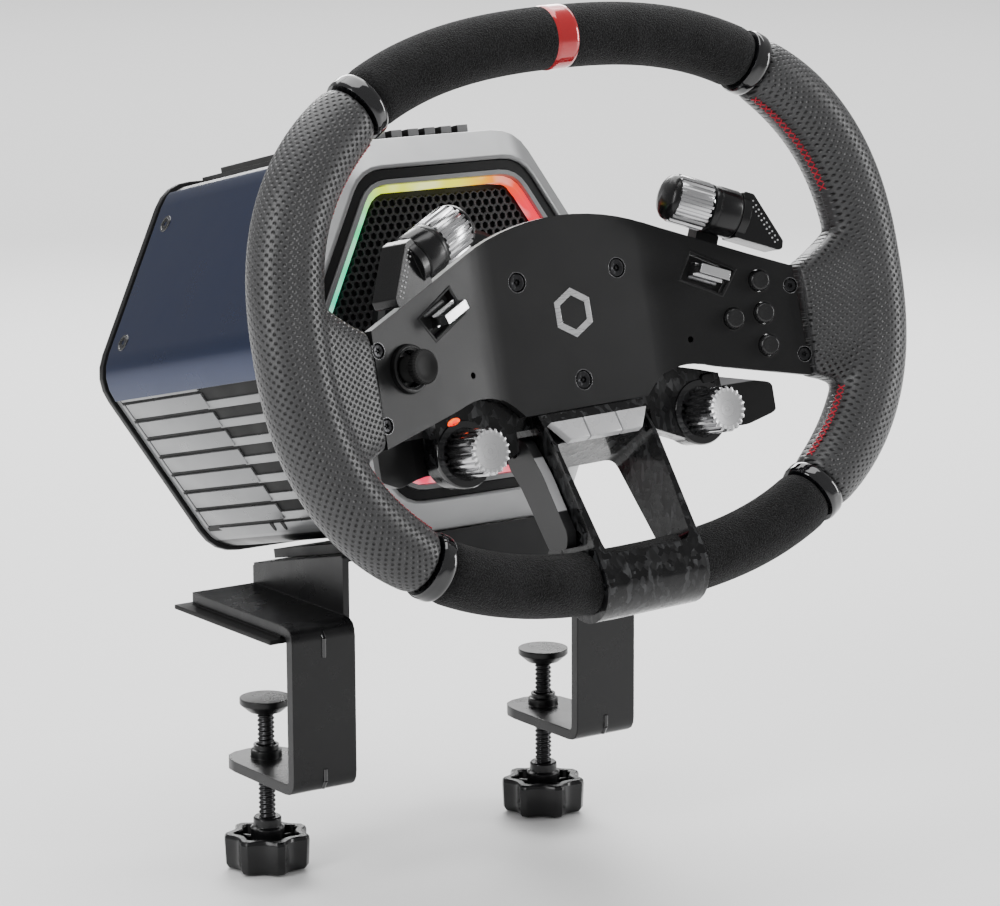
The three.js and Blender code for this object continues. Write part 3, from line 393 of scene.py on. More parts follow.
def shift_blade():
    """Black paddle whose inner upper part is left as bright metal."""
    finish = Finish("shift_blade", (0.3, 0.3, 0.31), 0.34, 0.6, edge=0.3)
    inner = finish.remap(finish.math("ABSOLUTE", finish.axis(0)), *BARE_INSIDE, 1.0, 0.0)
    bare = finish.math("MULTIPLY", inner, finish.remap(finish.axis(1), *BARE_ABOVE))
    finish.paint(bare, (0.012, 0.012, 0.0125), (0.5, 0.5, 0.51))
    finish.set("Metallic", finish.math("MULTIPLY", bare, 0.9))
    finish.brush(0.28, 0.42)
    return finish.material


def glow(name, colour, strength):
    """A small lamp with an orange core."""
    finish = Finish(name, colour, 0.3)
    core = finish.remap(finish.noise(0.6, 1.0), 0.4, 0.7, 0.0, 0.6)
    finish.set("Base Color", (0.05, 0.004, 0.003, 1.0))
    finish.set("Emission Color", finish.blend(core, colour, (1.0, 0.3, 0.02)))
    finish.set("Emission Strength", strength)
    return finish.material


looks = {
    "leather": leather(),
    "suede": suede(),
    "carbon": forged_carbon(),
    "anodised": anodised_black(),
    "blue": navy_gloss(),
    "light": lit_ring(),
    "aluminium": spun_metal("turned_aluminium", (0.62, 0.62, 0.63), 0.24),
    "bright": brushed_metal("polished_aluminium", (0.85, 0.85, 0.86), 0.18),
    "paddle": shift_blade(),
    "analog": two_tone_paddle(),
    "shell": shell_paint(),
    "fins": finned_cover(),
    "louvre": plain("grey_louvre", (0.25, 0.253, 0.257), 0.32, 0.6, grain=7.0, depth=0.006),
    "bezel": plain("satin_bezel", (0.3, 0.303, 0.307), 0.36, 0.6, grain=7.0, depth=0.008),
    "black": plain("black_plastic", (0.007, 0.007, 0.0075), 0.42, grain=4.0, depth=0.03,
                   specular_ior_level=0.3),
    "mesh": plain("grille_plastic", (0.03, 0.03, 0.031), 0.35, grain=4.0, depth=0.02),
    # near-black matte: painted shade for grooves, slits, notches and the spaces behind the grille and
    # louvres
    "recess": plain("painted_recess_shade", (0.004, 0.004, 0.004), 0.7),
    "gloss": plain("gloss_black", (0.006, 0.006, 0.007), 0.09, grain=0.3, depth=0.004, spread=0.03,
                   coat_weight=0.6),
    "knob": plain("knob_plastic", (0.006, 0.006, 0.0065), 0.22, grain=1.5, depth=0.02, edge=0.5,
                  specular_ior_level=0.4),
    "button": plain("button_plastic", (0.012, 0.012, 0.0125), 0.26, grain=3.0, depth=0.01, edge=0.5),
    "steel": plain("black_steel", (0.005, 0.005, 0.0055), 0.3, grain=7.0, depth=0.008, edge=0.8,
                   specular_ior_level=0.35),
    "rim": brushed_metal("dark_cut_edge", (0.2, 0.2, 0.205), 0.2),
    "thread": plain("thread_steel", (0.05, 0.05, 0.052), 0.3, 0.85, grain=3.0),
    "screw": plain("dark_screw", (0.03, 0.03, 0.032), 0.3, 0.8, grain=3.0),
    "silver": brushed_metal("silver_inlay", (0.6, 0.6, 0.61), 0.3, 0.9),
    "keys": plain("light_key", (0.62, 0.62, 0.63), 0.3, 0.15, grain=6.0, depth=0.01, edge=0.4),
    "rubber": plain("black_rubber", (0.008, 0.008, 0.008), 0.6, grain=2.5, depth=0.05,
                    specular_ior_level=0.3),
    "red": plain("red_gloss", (0.5, 0.008, 0.014), 0.16, 0.25, grain=0.4, depth=0.003, coat_weight=1.0),
    "stitch": plain("red_thread", (0.5, 0.008, 0.03), 0.7, grain=6.0, depth=0.08),
    "copper": plain("copper_winding", (0.5, 0.2, 0.07), 0.35, 0.9, grain=1.2, depth=0.1),
    "bearing": plain("ground_steel", (0.6, 0.6, 0.62), 0.2, 1.0),
    "board": plain("solder_mask", (0.01, 0.12, 0.05), 0.35, grain=0.8, depth=0.05),
    "status": glow("status_light", (1.0, 0.01, 0.0), 2.2),
}


# ------------------ making and placing pieces
def new_object(name, data):
    """An object in the scene that shows the given data."""
    thing = bpy.data.objects.new(name, data)
    bpy.context.scene.collection.objects.link(thing)
    return thing


def place(bm, name, where, body, slot, look, replaces=(), smooth=38.0):
    """Turns a mesh made in millimetres into a piece that rides on a body."""
    mesh = bpy.data.meshes.new(name)
    bm.normal_update()
    bm.to_mesh(mesh)
    bm.free()
    mesh.polygons.foreach_set("use_smooth", [True] * len(mesh.polygons))
    mesh.set_sharp_from_angle(angle=math.radians(smooth))
    mesh.materials.append(looks[look])
    piece = new_object(name, mesh)
    piece.matrix_world = where @ Matrix.Scale(MM, 4)
    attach(piece, body)
    if replaces:
        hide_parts(*replaces)
    return piece


FOLD_HALF, FOLD_CUTS = 6.5, 7
WELD, FLAT_TURN, SHARP_TURN = 0.003, math.radians(0.6), math.radians(32.0)


def soften_fold(bm):
    """Turns the plate's sharp folds into rolled bends."""
    rise = math.tan(WING_ANGLE)
    for side in (-1, 1):
        for i in range(FOLD_CUTS + 1):
            x = side * (WING_BEND - FOLD_HALF + 2 * FOLD_HALF * i / FOLD_CUTS)
            bmesh.ops.bisect_plane(bm, geom=bm.verts[:] + bm.edges[:] + bm.faces[:], dist=0.001,
                                   plane_co=(x, 0, 0), plane_no=(1, 0, 0))
    for vert in bm.verts:
        past = abs(vert.co.x) - WING_BEND
        if abs(past) < FOLD_HALF:
            vert.co.z += rise * ((past + FOLD_HALF) ** 2 / (4 * FOLD_HALF) - max(0.0, past))


def refined(node, where, slot, look, bevel=0.0, smooth=38.0, reshape=None):
    """A CAD node welded, with rounded edges and smooth curves, standing for the node."""
    source = frame["nodes"][node]
    bm = bmesh.new()
    bm.from_mesh(source.data)
    moved(bm, (where @ Matrix.Scale(MM, 4)).inverted())
    bmesh.ops.remove_doubles(bm, verts=bm.verts, dist=WELD)
    bmesh.ops.dissolve_limit(bm, angle_limit=FLAT_TURN, verts=bm.verts, edges=bm.edges)
    if bevel:
        edges = [e for e in bm.edges if len(e.link_faces) == 2 and e.calc_face_angle(0.0) > SHARP_TURN]
        bmesh.ops.bevel(bm, geom=edges, offset=bevel, segments=2, profile=0.6, affect="EDGES",
                        clamp_overlap=True)
    if reshape:
        reshape(bm)
    piece = place(bm, node + "_shown", where, source["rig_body"], slot, look, [node], smooth)
    even = piece.modifiers.new("even_flats", "WEIGHTED_NORMAL")
    even.keep_sharp = True
    return piece


def merge(*meshes):
    """Several meshes as one."""
    whole = bmesh.new()
    for bm in meshes:
        mesh = bpy.data.meshes.new("part")
        bm.to_mesh(mesh)
        bm.free()
        whole.from_mesh(mesh)
        bpy.data.meshes.remove(mesh)
    return whole


def moved(bm, matrix):
    bmesh.ops.transform(bm, matrix=matrix, verts=bm.verts)
    return bm


def shift(x=0.0, y=0.0, z=0.0):
    """A shift for a mesh that is still in millimetres."""
    return Matrix.Translation((x, y, z))


def skinned(rings, joined=False):
    """A surface through closed rings of points. Its ends are flat, or joined to each other."""
    bm = bmesh.new()
    loops = [[bm.verts.new(p) for p in ring] for ring in rings]
    following = loops[1:] + loops[:1] if joined else loops[1:]
    for one, two in zip(loops, following):
        count = len(one)
        for i in range(count):
            bm.faces.new((one[i], one[(i + 1) % count], two[(i + 1) % count], two[i]))
    if not joined:
        bm.faces.new(list(reversed(loops[0])))
        bm.faces.new(loops[-1])
    bmesh.ops.recalc_face_normals(bm, faces=bm.faces)
    return bm


def lathe(profile, steps, reach=None, joined=False):
    """A turning about Z from [radius, z] points; reach may change the radius with the angle."""
    rings = []
    for radius, z in profile:
        ring = []
        for i in range(steps):
            angle = 2 * math.pi * i / steps
            r = max(radius, 0.001) * (reach(angle, radius, z) if reach else 1.0)
            ring.append((r * math.cos(angle), r * math.sin(angle), z))
        rings.append(ring)
    return skinned(rings, joined)


def lathe_ring(profile, steps):
    """A closed ring about Z from the closed outline of its section."""
    return lathe(profile, steps, joined=True)


def slab(outline, z0, z1, bevel=0.0):
    """A flat outline raised from z0 to z1, its upper rim rounded."""
    bm = skinned([[(x, y, z) for x, y in outline] for z in (z0, z1)])
    if bevel:
        edges = [e for e in bm.edges if all(abs(v.co.z - z1) < 1e-6 for v in e.verts)]
        bmesh.ops.bevel(bm, geom=edges, offset=bevel, segments=3, profile=0.5, affect="EDGES")
    return bm


def skinned_ring(outlines, heights):
    """A closed band through flat outlines, each at its own height."""
    return skinned([[(x, y, z) for x, y in outline] for outline, z in zip(outlines, heights)], joined=True)


def frame_slab(outer, inner, z0, z1):
    """A flat frame between two outlines with the same number of points."""
    return skinned_ring([outer, outer, inner, inner], [z0, z1, z1, z0])


def hexagon(apothem, turn=30.0):
    """Corners of a hexagon; with no turn its flats face up and down."""
    reach = apothem / math.cos(math.radians(30))
    angles = [math.radians(turn + 60 * i) for i in range(6)]
    return [(reach * math.cos(a), reach * math.sin(a)) for a in angles]


def rod(start, end, radius, sides):
    """A thin round bar between two points."""
    a, b = Vector(start), Vector(end)
    bm = bmesh.new()
    bmesh.ops.create_cone(bm, cap_ends=True, segments=sides, radius1=radius, radius2=radius,
                          depth=(b - a).length)
    turn = (b - a).to_track_quat("Z", "Y").to_matrix().to_4x4()
    return moved(bm, Matrix.Translation((a + b) / 2) @ turn)


# ------------------ rim
def rim_point(degrees):
    """A point on the rim's centre line."""
    angle = math.radians(degrees)
    across = abs(math.cos(angle) / RIM_WIDTH) ** RIM_POWER
    upward = abs(math.sin(angle) / RIM_HEIGHT) ** RIM_POWER
    reach = (across + upward) ** (-1 / RIM_POWER)
    return Vector((reach * math.cos(angle), reach * math.sin(angle), RIM_Z))


def rim_outward(degrees):
    """The direction out of the rim, square to its centre line."""
    along = rim_point(degrees + 0.05) - rim_point(degrees - 0.05)
    return Vector((along.y, -along.x, 0.0)).normalized()


ARC_STEP = 0.5
arc_lengths = [0.0]
for i in range(int(360 / ARC_STEP)):
    arc_lengths.append(arc_lengths[-1] + (rim_point((i + 1) * ARC_STEP) - rim_point(i * ARC_STEP)).length)


def arc_length(degrees):
    """Distance along the rim's centre line, continuous either side of zero."""
    whole, part = divmod(degrees, 360.0)
    index, rest = divmod(part / ARC_STEP, 1.0)
    low = arc_lengths[int(index)]
    high = arc_lengths[min(int(index) + 1, len(arc_lengths) - 1)]
    return whole * arc_lengths[-1] + low + (high - low) * rest


def rim_sweep(start, end, radius, steps, around=48):
    """A length of rim. radius(t, angle) gives the surface's distance from the centre line."""
    rings = []
    for i in range(steps + 1):
        t = i / steps
        degrees = start + (end - start) * t
        centre, outward = rim_point(degrees), rim_outward(degrees)
        ring = []
        for j in range(around):
            angle = 2 * math.pi * j / around
            r = radius(t, angle)
            ring.append(centre + outward * (r * math.cos(angle)) + Vector((0, 0, r * math.sin(angle))))
        rings.append(ring)
    return skinned(rings)


def tucked(radius, steps, depth=1.2):
    """Radius that turns in at both ends, as wrapped material does."""
    def reach(t, _):
        near = min(t, 1 - t) * steps
        return radius - depth * max(0.0, 1 - near / 2.0) ** 2
    return reach


# each section's x, then its low and high edges in y and in z, from the wing out to the rim
SPOKE_SECTIONS = ((105.6, -42.0, 4.0, 1.0, 16.6), (112.0, -44.0, 7.0, 1.0, 18.5),
                  (120.0, -48.0, 12.0, 1.5, 21.5), (128.0, -54.0, 18.0, 2.5, 24.5),
                  (136.0, -58.0, 23.0, 5.0, 24.5))
SPOKE_POINTS, SPOKE_POWER = 28, 5


def spoke_wrap(side):
    """The rounded block of leather between the wing and the rim."""
    rings = []
    for x, y0, y1, z0, z1 in SPOKE_SECTIONS:
        ring = []
        for j in range(SPOKE_POINTS):
            angle = 2 * math.pi * j / SPOKE_POINTS
            across, up = math.cos(angle), math.sin(angle)
            scale = (abs(across) ** SPOKE_POWER + abs(up) ** SPOKE_POWER) ** (-1 / SPOKE_POWER)
            y = (y0 + y1) / 2 + (y1 - y0) / 2 * across * scale
            z = (z0 + z1) / 2 + (z1 - z0) / 2 * up * scale
            ring.append((side * x, y, z))
        rings.append(ring)
    return skinned(rings)


WRAP_EDGE, WRAP_ANGLE = 8.0, 2.13  # where the leather leaves the tube for the spoke


def add_surface_uv(piece):
    """Distance along and around the rim, in millimetres, as the leather's own coordinates."""
    mesh = piece.data
    layer = mesh.uv_layers.new(name="surface_mm")
    for loop in mesh.loops:
        p = mesh.vertices[loop.vertex_index].co
        degrees = math.degrees(math.atan2(p.y, p.x))
        degrees = degrees + 360 if p.x < 0 and degrees < 0 else degrees
        offset = p - rim_point(degrees)
        outward = offset.dot(rim_outward(degrees))
        angle = math.atan2(p.z - RIM_Z, outward)
        inside = max(0.0, -outward - WRAP_EDGE)
        flat = math.copysign(LEATHER * WRAP_ANGLE + inside, p.z - RIM_Z)
        layer.data[loop.index].uv = (arc_length(degrees), flat if inside else LEATHER * angle)


COLLAR_GAP, COLLAR_PROUD = 0.35, 0.15
GRIP_HALF, GRIP_STEPS, GRIP_END = COLLAR_ANGLE - COLLAR_SPAN / 2 - COLLAR_GAP, 90, 12.9
SUEDE_HALF = 90 - COLLAR_ANGLE - COLLAR_SPAN / 2 - COLLAR_GAP
STITCH_PITCH, STITCH_RADIUS, STITCH_LEAN = 3.4, 0.3, 0.3
STITCH_SPANS = ((15, 40), (-40, -23))
SEAM_ANGLE = math.pi - 0.2


def grip_radius(t, _=0.0):
    """The grip thins towards the collars and is tucked in at its ends."""
    end = abs(2 * t - 1)
    tuck = max(0.0, 1 - min(t, 1 - t) * GRIP_STEPS / 1.6) ** 2
    return LEATHER - (LEATHER - GRIP_END) * end ** 5 - tuck


def leather_grip(name, side, middle):
    """One side's leather: grip and spoke wrap blended into one skin."""
    tube = rim_sweep(middle - GRIP_HALF, middle + GRIP_HALF, grip_radius, GRIP_STEPS, 56)
    piece = place(merge(tube, spoke_wrap(side)), name + "_leather", WHEEL, "wheel", "leather", "leather",
                  [name + "_grip"])
    remesh = piece.modifiers.new("blend", "REMESH")
    remesh.mode = "VOXEL"
    remesh.voxel_size = 1.1
    soften = piece.modifiers.new("soften", "SMOOTH")
    soften.factor = 0.6
    soften.iterations = 14
    bpy.context.view_layer.update()
    shaped = bpy.data.meshes.new_from_object(piece.evaluated_get(bpy.context.evaluated_depsgraph_get()))
    piece.modifiers.clear()
    piece.data = shaped
    shaped.polygons.foreach_set("use_smooth", [True] * len(shaped.polygons))
    shaped.set_sharp_from_angle(angle=math.radians(60))
    add_surface_uv(piece)


def stitching(middle, start, end):
    """Crossed stitches along the seam on the grip's inner side."""
    lengths = []
    count = int((arc_length(end) - arc_length(start)) / STITCH_PITCH)
    for i in range(count):
        for lean in (-1, 1):
            points = []
            for share in (0.12, 0.88):
                degrees = start + (end - start) * (i + share) / count
                angle = SEAM_ANGLE + lean * (share - 0.5) * STITCH_LEAN
                reach = grip_radius((degrees - middle + GRIP_HALF) / (2 * GRIP_HALF)) + 0.1
                centre, outward = rim_point(degrees), rim_outward(degrees)
                points.append(centre + outward * (reach * math.cos(angle))
                              + Vector((0, 0, reach * math.sin(angle))))
            lengths.append(rod(points[0], points[1], STITCH_RADIUS, 6))
    return merge(*lengths)


for name, side in SIDES:
    middle = 0.0 if side > 0 else 180.0
    leather_grip(name, side, middle)
    labels = ("upper", "lower") if side > 0 else ("lower", "upper")
    for label, (start, end) in zip(labels, STITCH_SPANS):
        seam = stitching(middle, middle + start, middle + end)
        place(seam, f"{name}_{label}_stitching", WHEEL, "wheel", "red", "stitch")

for name, middle in (("top", 90.0), ("bottom", 270.0)):
    sleeve = rim_sweep(middle - SUEDE_HALF, middle + SUEDE_HALF, tucked(SUEDE, 100), 100)
    place(sleeve, name + "_suede_cover", WHEEL, "wheel", "suede", "suede", [name + "_suede"])

marker = rim_sweep(90 - MARKER_SPAN / 2, 90 + MARKER_SPAN / 2, tucked(MARKER, 12, 0.5), 12)
place(marker, "centre_marker", WHEEL, "wheel", "red", "red", ["top_marker"])

collars = []
for middle in (COLLAR_ANGLE, 180 - COLLAR_ANGLE, 180 + COLLAR_ANGLE, 360 - COLLAR_ANGLE):
    start, end = middle - COLLAR_SPAN / 2, middle + COLLAR_SPAN / 2
    collars.append(rim_sweep(start, end, tucked(COLLAR + COLLAR_PROUD, 8, 0.6), 8))
place(merge(*collars), "rim_collars", WHEEL, "wheel", "gloss_black", "gloss", ["rim_core"])

# ------------------ wheel body
refined("wheel_housing", WHEEL, "black_plastic", "black", 0.4)
refined("quick_release", WHEEL, "anodised", "anodised", 0.3)
refined("faceplate", WHEEL, "anodised", "anodised", 0.35, smooth=30.0, reshape=soften_fold)
refined("hub_screws", WHEEL, "black_steel", "screw")
refined("carbon_spoke", WHEEL, "carbon", "carbon", 0.7)

KEY_HALF, KEY_SLANT, KEY_TILT = 7.6, 6.0, math.radians(-24)
KEYS = (("left", -15.9, KEY_SLANT, 0.0), ("middle", 0.0, 0.0, 0.0), ("right", 15.9, 0.0, KEY_SLANT))
for name, x, left_cut, right_cut in KEYS:
    outline = [(-KEY_HALF, 4.3), (-KEY_HALF + left_cut, -4.3), (KEY_HALF - right_cut, -4.3), (KEY_HALF, 4.3)]
    where = WHEEL @ move(x, -47, 6.5) @ Matrix.Rotation(KEY_TILT, 4, "X")
    cap = slab(outline, -1.6, 2.2, 0.55)
    place(cap, name + "_key_cap", where, f"key_{name}", "keys", "keys", [name + "_key"])
refined("pod_button", WHEEL, "keys", "black", 0.3)


def star_drive(size):
    """Radius factor for a six-lobed recess up to the given radius."""
    return lambda angle, radius, z: 1 - 0.16 * (1 - math.cos(6 * angle)) if radius <= size else 1.0


def socket_head(radius, drive):
    """A screw head with a star-shaped recess and a pin in its middle."""
    profile = [(0, -0.55), (drive * 0.3, -0.55), (drive * 0.32, -1.3), (drive, -1.3), (drive, -0.3),
               (drive + 0.01, -0.26), (radius - 0.5, -0.2), (radius, -0.6), (radius, -2), (0, -2)]
    return lathe(profile, 72, star_drive(drive))


def countersink(inner, outer):
    """The bevelled ring that a screw head sits in."""
    edge = outer + 0.25
    return lathe_ring([(inner, -0.9), (outer, 0.03), (edge, 0.03), (edge, -1), (inner, -1.2)], 48)


def screws(names, where, spots, radius, drive, rim, raised=0.0):
    """Screw heads in their countersunk rings. The names are those of the heads and of the rings."""
    heads = [moved(socket_head(radius, drive), shift(x, y, raised)) for x, y in spots]
    place(merge(*heads), names[0], where, "wheel", "black_steel", "screw")
    rings = [moved(countersink(radius + 0.05, rim), shift(x, y)) for x, y in spots]
    place(merge(*rings), names[1], where, "wheel", "machined_metal", "rim")


screws(("hub_screw_heads", "hub_screw_rings"), WHEEL, HUB_SCREWS, 3.5, 1.9, 4.0, 0.05)
for name, side in SIDES:
    spots = [(side * (x - WING_BEND) / math.cos(WING_ANGLE), y) for x, y in WING_SCREWS]
    screws((name + "_wing_screws", name + "_wing_screw_rings"), wing(side), spots, 2.7, 1.2, 3.1)

# a plain hexagon ring as the plate's inlay
emblem = frame_slab(hexagon(8.6), hexagon(6.0), -0.1, 0.12)
place(moved(emblem, shift(0, -1)), "plate_inlay", WHEEL, "wheel", "machined_metal", "silver")

# ------------------ buttons, stick and toggles
BUTTON_CAP = ((0, 2.5), (2.6, 2.55), (3.2, 2.7), (3.5, 2.6), (4.1, 2.0), (4.35, 1.2), (4.35, -4), (0, -4))
for number, (x, y) in enumerate(BUTTONS, 1):
    place(lathe(BUTTON_CAP, 48), f"button_{number}_cap", wing(1) @ move(x, y), f"push_{number}",
          "black_plastic", "button", [f"button_{number}"])
# a thin near-black ring round each button: painted shade standing for the groove around it
rings = [moved(lathe_ring([(4.5, -0.6), (4.55, 0.04), (5.2, 0.04), (5.25, -0.6)], 48), shift(x, y))
         for x, y in BUTTONS]
place(merge(*rings), "button_rings", wing(1), "wheel", "gloss_black", "recess")


def ribbed(teeth, depth, above):
    """Radius factor that cuts shallow grooves round the edge beyond a radius."""
    return lambda angle, radius, z: 1 - depth * max(0.0, math.cos(teeth * angle)) if radius > above else 1.0


STICK_AXIS = wing(-1) @ move(*STICK)
stick_cap = lathe([(0, 8.1), (2.6, 8.3), (4.6, 8.9), (5.5, 9.6), (6.1, 9.7), (6.75, 9.2), (6.9, 8.3),
                   (6.7, 6.4), (5.6, 5.8), (3.2, 5.3), (3.6, 2.4), (5.2, 0.2), (5.0, -3.2), (2.4, -7),
                   (0, -7.4)], 144, ribbed(36, 0.05, 6.0))
place(stick_cap, "thumbstick_cap", STICK_AXIS, "stick", "rubber", "rubber", ["thumbstick"])
boot = lathe_ring([(6.9, -3), (7.2, 1.4), (8.4, 2.2), (9.3, 1.9), (9.7, 0.6), (9.8, 0.05), (9.8, -1),
                   (9, -3)], 64)
place(boot, "stick_collar", STICK_AXIS, "wheel", "gloss_black", "knob")
refined("stick_gimbal", STICK_AXIS, "black_plastic", "black")

WINDOW = ((-10.6, -5.2), (8.2, -6.4), (11.4, 4.2), (-8.8, 6.2))
LIP_SCALES = ((1.13, 1.2), (1.08, 1.13), (1.02, 1.03))
ROCKER_RADIUS, WELL_SCALE = 5.2, 0.97
for name, side in SIDES:
    where = wing(side) @ move(side * TOGGLE[0], TOGGLE[1]) @ Matrix.Rotation(-side * EDGE_ANGLE, 4, "Z")
    outline = [(side * x, y) for x, y in WINDOW]
    wide, mid, near = ([(x * a, y * b) for x, y in outline] for a, b in LIP_SCALES)
    lip = skinned_ring([wide, mid, near, near, wide], [0.02, 0.28, 0.05, -0.2, -0.2])
    place(lip, name + "_toggle_frame", where, "wheel", "gloss_black", "anodised")
    refined(name + "_toggle", where, "machined_metal", "bright", 0.5)
    angles = [math.radians(v) for v in range(-42, 43, 7)]
    arch = [(ROCKER_RADIUS * math.sin(a), ROCKER_RADIUS * math.cos(a)) for a in angles]
    rocker = slab(arch + [(2.6, 1.2), (-2.6, 1.2)], -6.3, 6.3)
    stand = move(z=-7) @ Matrix.Rotation(math.pi / 2, 4, "Z") @ Matrix.Rotation(math.pi / 2, 4, "X")
    place(rocker, name + "_toggle_rocker", where @ stand, f"toggle_{name}", "machined_metal", "silver")
    # a floor closing the window from below; its near-black matte is painted shade inside the window
    well = skinned([[(x * WELL_SCALE, y * WELL_SCALE, z) for x, y in outline] for z in (-4.4, -3.4)])
    place(well, name + "_toggle_well", where, "wheel", "black_plastic", "recess")


# ------------------ encoders and knobs
def knurl(teeth, depth, above):
    """Radius factor for flat-topped teeth with rounded grooves."""
    def reach(angle, radius, z):
        if radius < above:
            return 1.0
        wave = math.cos(teeth * angle)
        return 1 - depth * max(0.0, min(1.0, 0.5 + 1.6 * wave)) / radius
    return reach


DOT_RADIUS, DOT_INSETS, DOTS_A_ROW, LEVER_FACE = 0.42, (1.9, 3.4), 10, 6.5


def lever_dots(side):
    """Two rows of dots beside the slanted edge of the lever's front face."""
    dots = []
    for inset in DOT_INSETS:
        for step in range(DOTS_A_ROW):
            dot = bmesh.new()
            bmesh.ops.create_icosphere(dot, subdivisions=2, radius=DOT_RADIUS)
            y, z = 8.2 - 1.4 * step - 0.75 * inset, 26.0 + 1.58 * step - 0.67 * inset
            dots.append(moved(dot, shift(-side * LEVER_FACE, y, z)))
    return merge(*dots)


for name, side in SIDES:
    where = encoder_axis(side)
    ring = lathe([(0, -8), (8.4, -8), (9.7, -7.7), (10, -7.2), (10, 6.6), (9.7, 7.2), (8.6, 7.4), (3, 7.4),
                  (3, 13.5), (0, 13.5)], 240, knurl(20, 0.75, 9.5))
    place(ring, name + "_knurled_ring", where, f"ring_{name}", "machined_metal", "aluminium",
          [name + "_encoder_ring"])
    dome = lathe([(0, -12.3), (4, -12.1), (7.2, -11.2), (8.9, -9.9), (9.5, -8.6), (9.5, -8.05),
                  (0, -8.05)], 72)
    place(dome, name + "_ring_dome", where, f"ring_{name}", "black_plastic", "knob")
    sleeve = lathe_ring([(9.5, 8.1), (9.8, 8.1), (10.0, 8.4), (10.0, 10.2), (9.85, 10.3), (9.85, 10.7),
                         (10.0, 10.8), (10.0, 19.2), (9.8, 19.6), (9.5, 19.6)], 96)
    place(sleeve, name + "_encoder_sleeve", where, "wheel", "black_plastic", "knob")
    refined(name + "_encoder_lever", where, "black_plastic", "knob", 0.8)
    place(lever_dots(side), name + "_lever_dots", where, f"lever_{name}", "black_plastic", "silver")

    where = WHEEL @ move(side * KNOB[0], KNOB[1])
    knob = lathe([(0, 13.1), (6.4, 13.2), (8.2, 13.5), (9.1, 13.1), (9.4, 12.4), (9.4, -2.8), (9.1, -3.4),
                  (8, -3.8), (3, -3.8), (3, -13), (0, -13)], 240, knurl(20, 1.15, 8.9))
    place(knob, name + "_spun_knob", where, f"knob_{name}", "machined_metal", "aluminium",
          [name + "_lower_knob"])
    cup = lathe_ring([(10.2, -4.6), (10.4, -3.9), (13.0, -3.9), (13.5, -4.6), (13.5, -6), (10.2, -6)], 96)
    place(cup, name + "_knob_cup", where, "wheel", "gloss_black", "gloss")
    refined(name + "_shift_paddle", WHEEL, "machined_metal", "paddle", 0.4)
    refined(name + "_analog_paddle", WHEEL, "keys", "analog", 0.4)

angles = [2 * math.pi * i / 24 for i in range(24)]
capsule = [(3.0 * math.cos(a) * (1.0 if abs(math.cos(a)) > 0.5 else 0.9), 1.5 * math.sin(a)) for a in angles]
where = WHEEL @ move(-61.5, -36.0) @ Matrix.Rotation(0.25, 4, "Z")
place(slab(capsule, -5.0, -3.9, 0.3), "status_window", where, "wheel", "light", "status")

# ------------------ base
BASE_NODES = (
    ("base_shell", "shell", "shell", 0.4), ("front_bezel", "bezel", "bezel", 0.6),
    ("front_panel", "black_plastic", "black", 0.3), ("lip_ring", "bezel", "bezel", 0.2),
    ("light_ring", "light", "light", 0.3), ("rear_cover", "black_plastic", "black", 0.6),
    ("under_rail", "gloss_black", "black", 0.6), ("top_vent_cover", "black_plastic", "fins", 0.4),
    ("left_side_panel", "blue", "blue", 0.35), ("right_side_panel", "blue", "blue", 0.35))
for node, slot, look, bevel in BASE_NODES:
    refined(node, SHAFT, slot, look, bevel)


SLOT_ROWS, SLOT_PITCH, SLOT_START, SLOT_HALF, SLOT_STEP = 7, 6.5, 10, 34, 2.0
SLOT_RADIUS, SLOT_TURNS = 1.3, 12


def slot_outline(y, half):
    """A slot at height y: two half circles joined by straight sides."""
    angles = [math.pi * i / SLOT_TURNS for i in range(SLOT_TURNS + 1)]
    right = [(half + SLOT_RADIUS * math.sin(a), y - SLOT_RADIUS * math.cos(a)) for a in angles]
    left = [(-half - SLOT_RADIUS * math.sin(a), y + SLOT_RADIUS * math.cos(a)) for a in angles]
    return right + left


rear_face = min((SHAFT.inverted() @ v.co).z for v in frame["nodes"]["rear_cover"].data.vertices) / MM
# the slits are not cut: thin near-black slabs on the cover are painted shade standing for them
slots = []
for row in range(SLOT_ROWS):
    outline = slot_outline(SLOT_START + SLOT_PITCH * row, SLOT_HALF - SLOT_STEP * row)
    slots.append(slab(outline, rear_face - 0.12, rear_face + 0.4))
place(merge(*slots), "rear_slots", SHAFT, "base", "black_plastic", "recess")
heads = [moved(socket_head(3.0, 1.5), shift(x, y, rear_face - 0.5) @ Matrix.Rotation(math.pi, 4, "X"))
         for x, y in hexagon(70.0, 0.0)]
place(merge(*heads), "rear_cover_screws", SHAFT, "base", "black_steel", "screw")

CELL_PITCH, CELL_WALL, CELL_DEPTH, CELL_COLUMNS = 3.7, 0.5, 1.6, 22
CELL_RISE = 0.866  # a row's height as a share of the pitch


def grille():
    """Hexagonal mesh over the field between the boss and the lit ring."""
    cells = []
    rows = int(GRILLE_APOTHEM * 2 / (CELL_PITCH * CELL_RISE)) + 1
    for row in range(-rows // 2, rows // 2 + 1):
        for column in range(-CELL_COLUMNS, CELL_COLUMNS + 1):
            x = (column + 0.5 * (row % 2)) * CELL_PITCH
            y = row * CELL_PITCH * CELL_RISE
            reach = max(abs(y), abs(x * CELL_RISE + y * 0.5), abs(x * CELL_RISE - y * 0.5))
            if reach >= GRILLE_APOTHEM - 2.0 or math.hypot(x, y) < BOSS - 1:
                continue
            edge = [(x + u, y + v) for u, v in hexagon(CELL_PITCH / 2)]
            hole = [(x + u, y + v) for u, v in hexagon(CELL_PITCH / 2 - CELL_WALL)]
            cells.append(frame_slab(edge, hole, GRILLE_Z, GRILLE_Z + CELL_DEPTH))
    return merge(*cells)


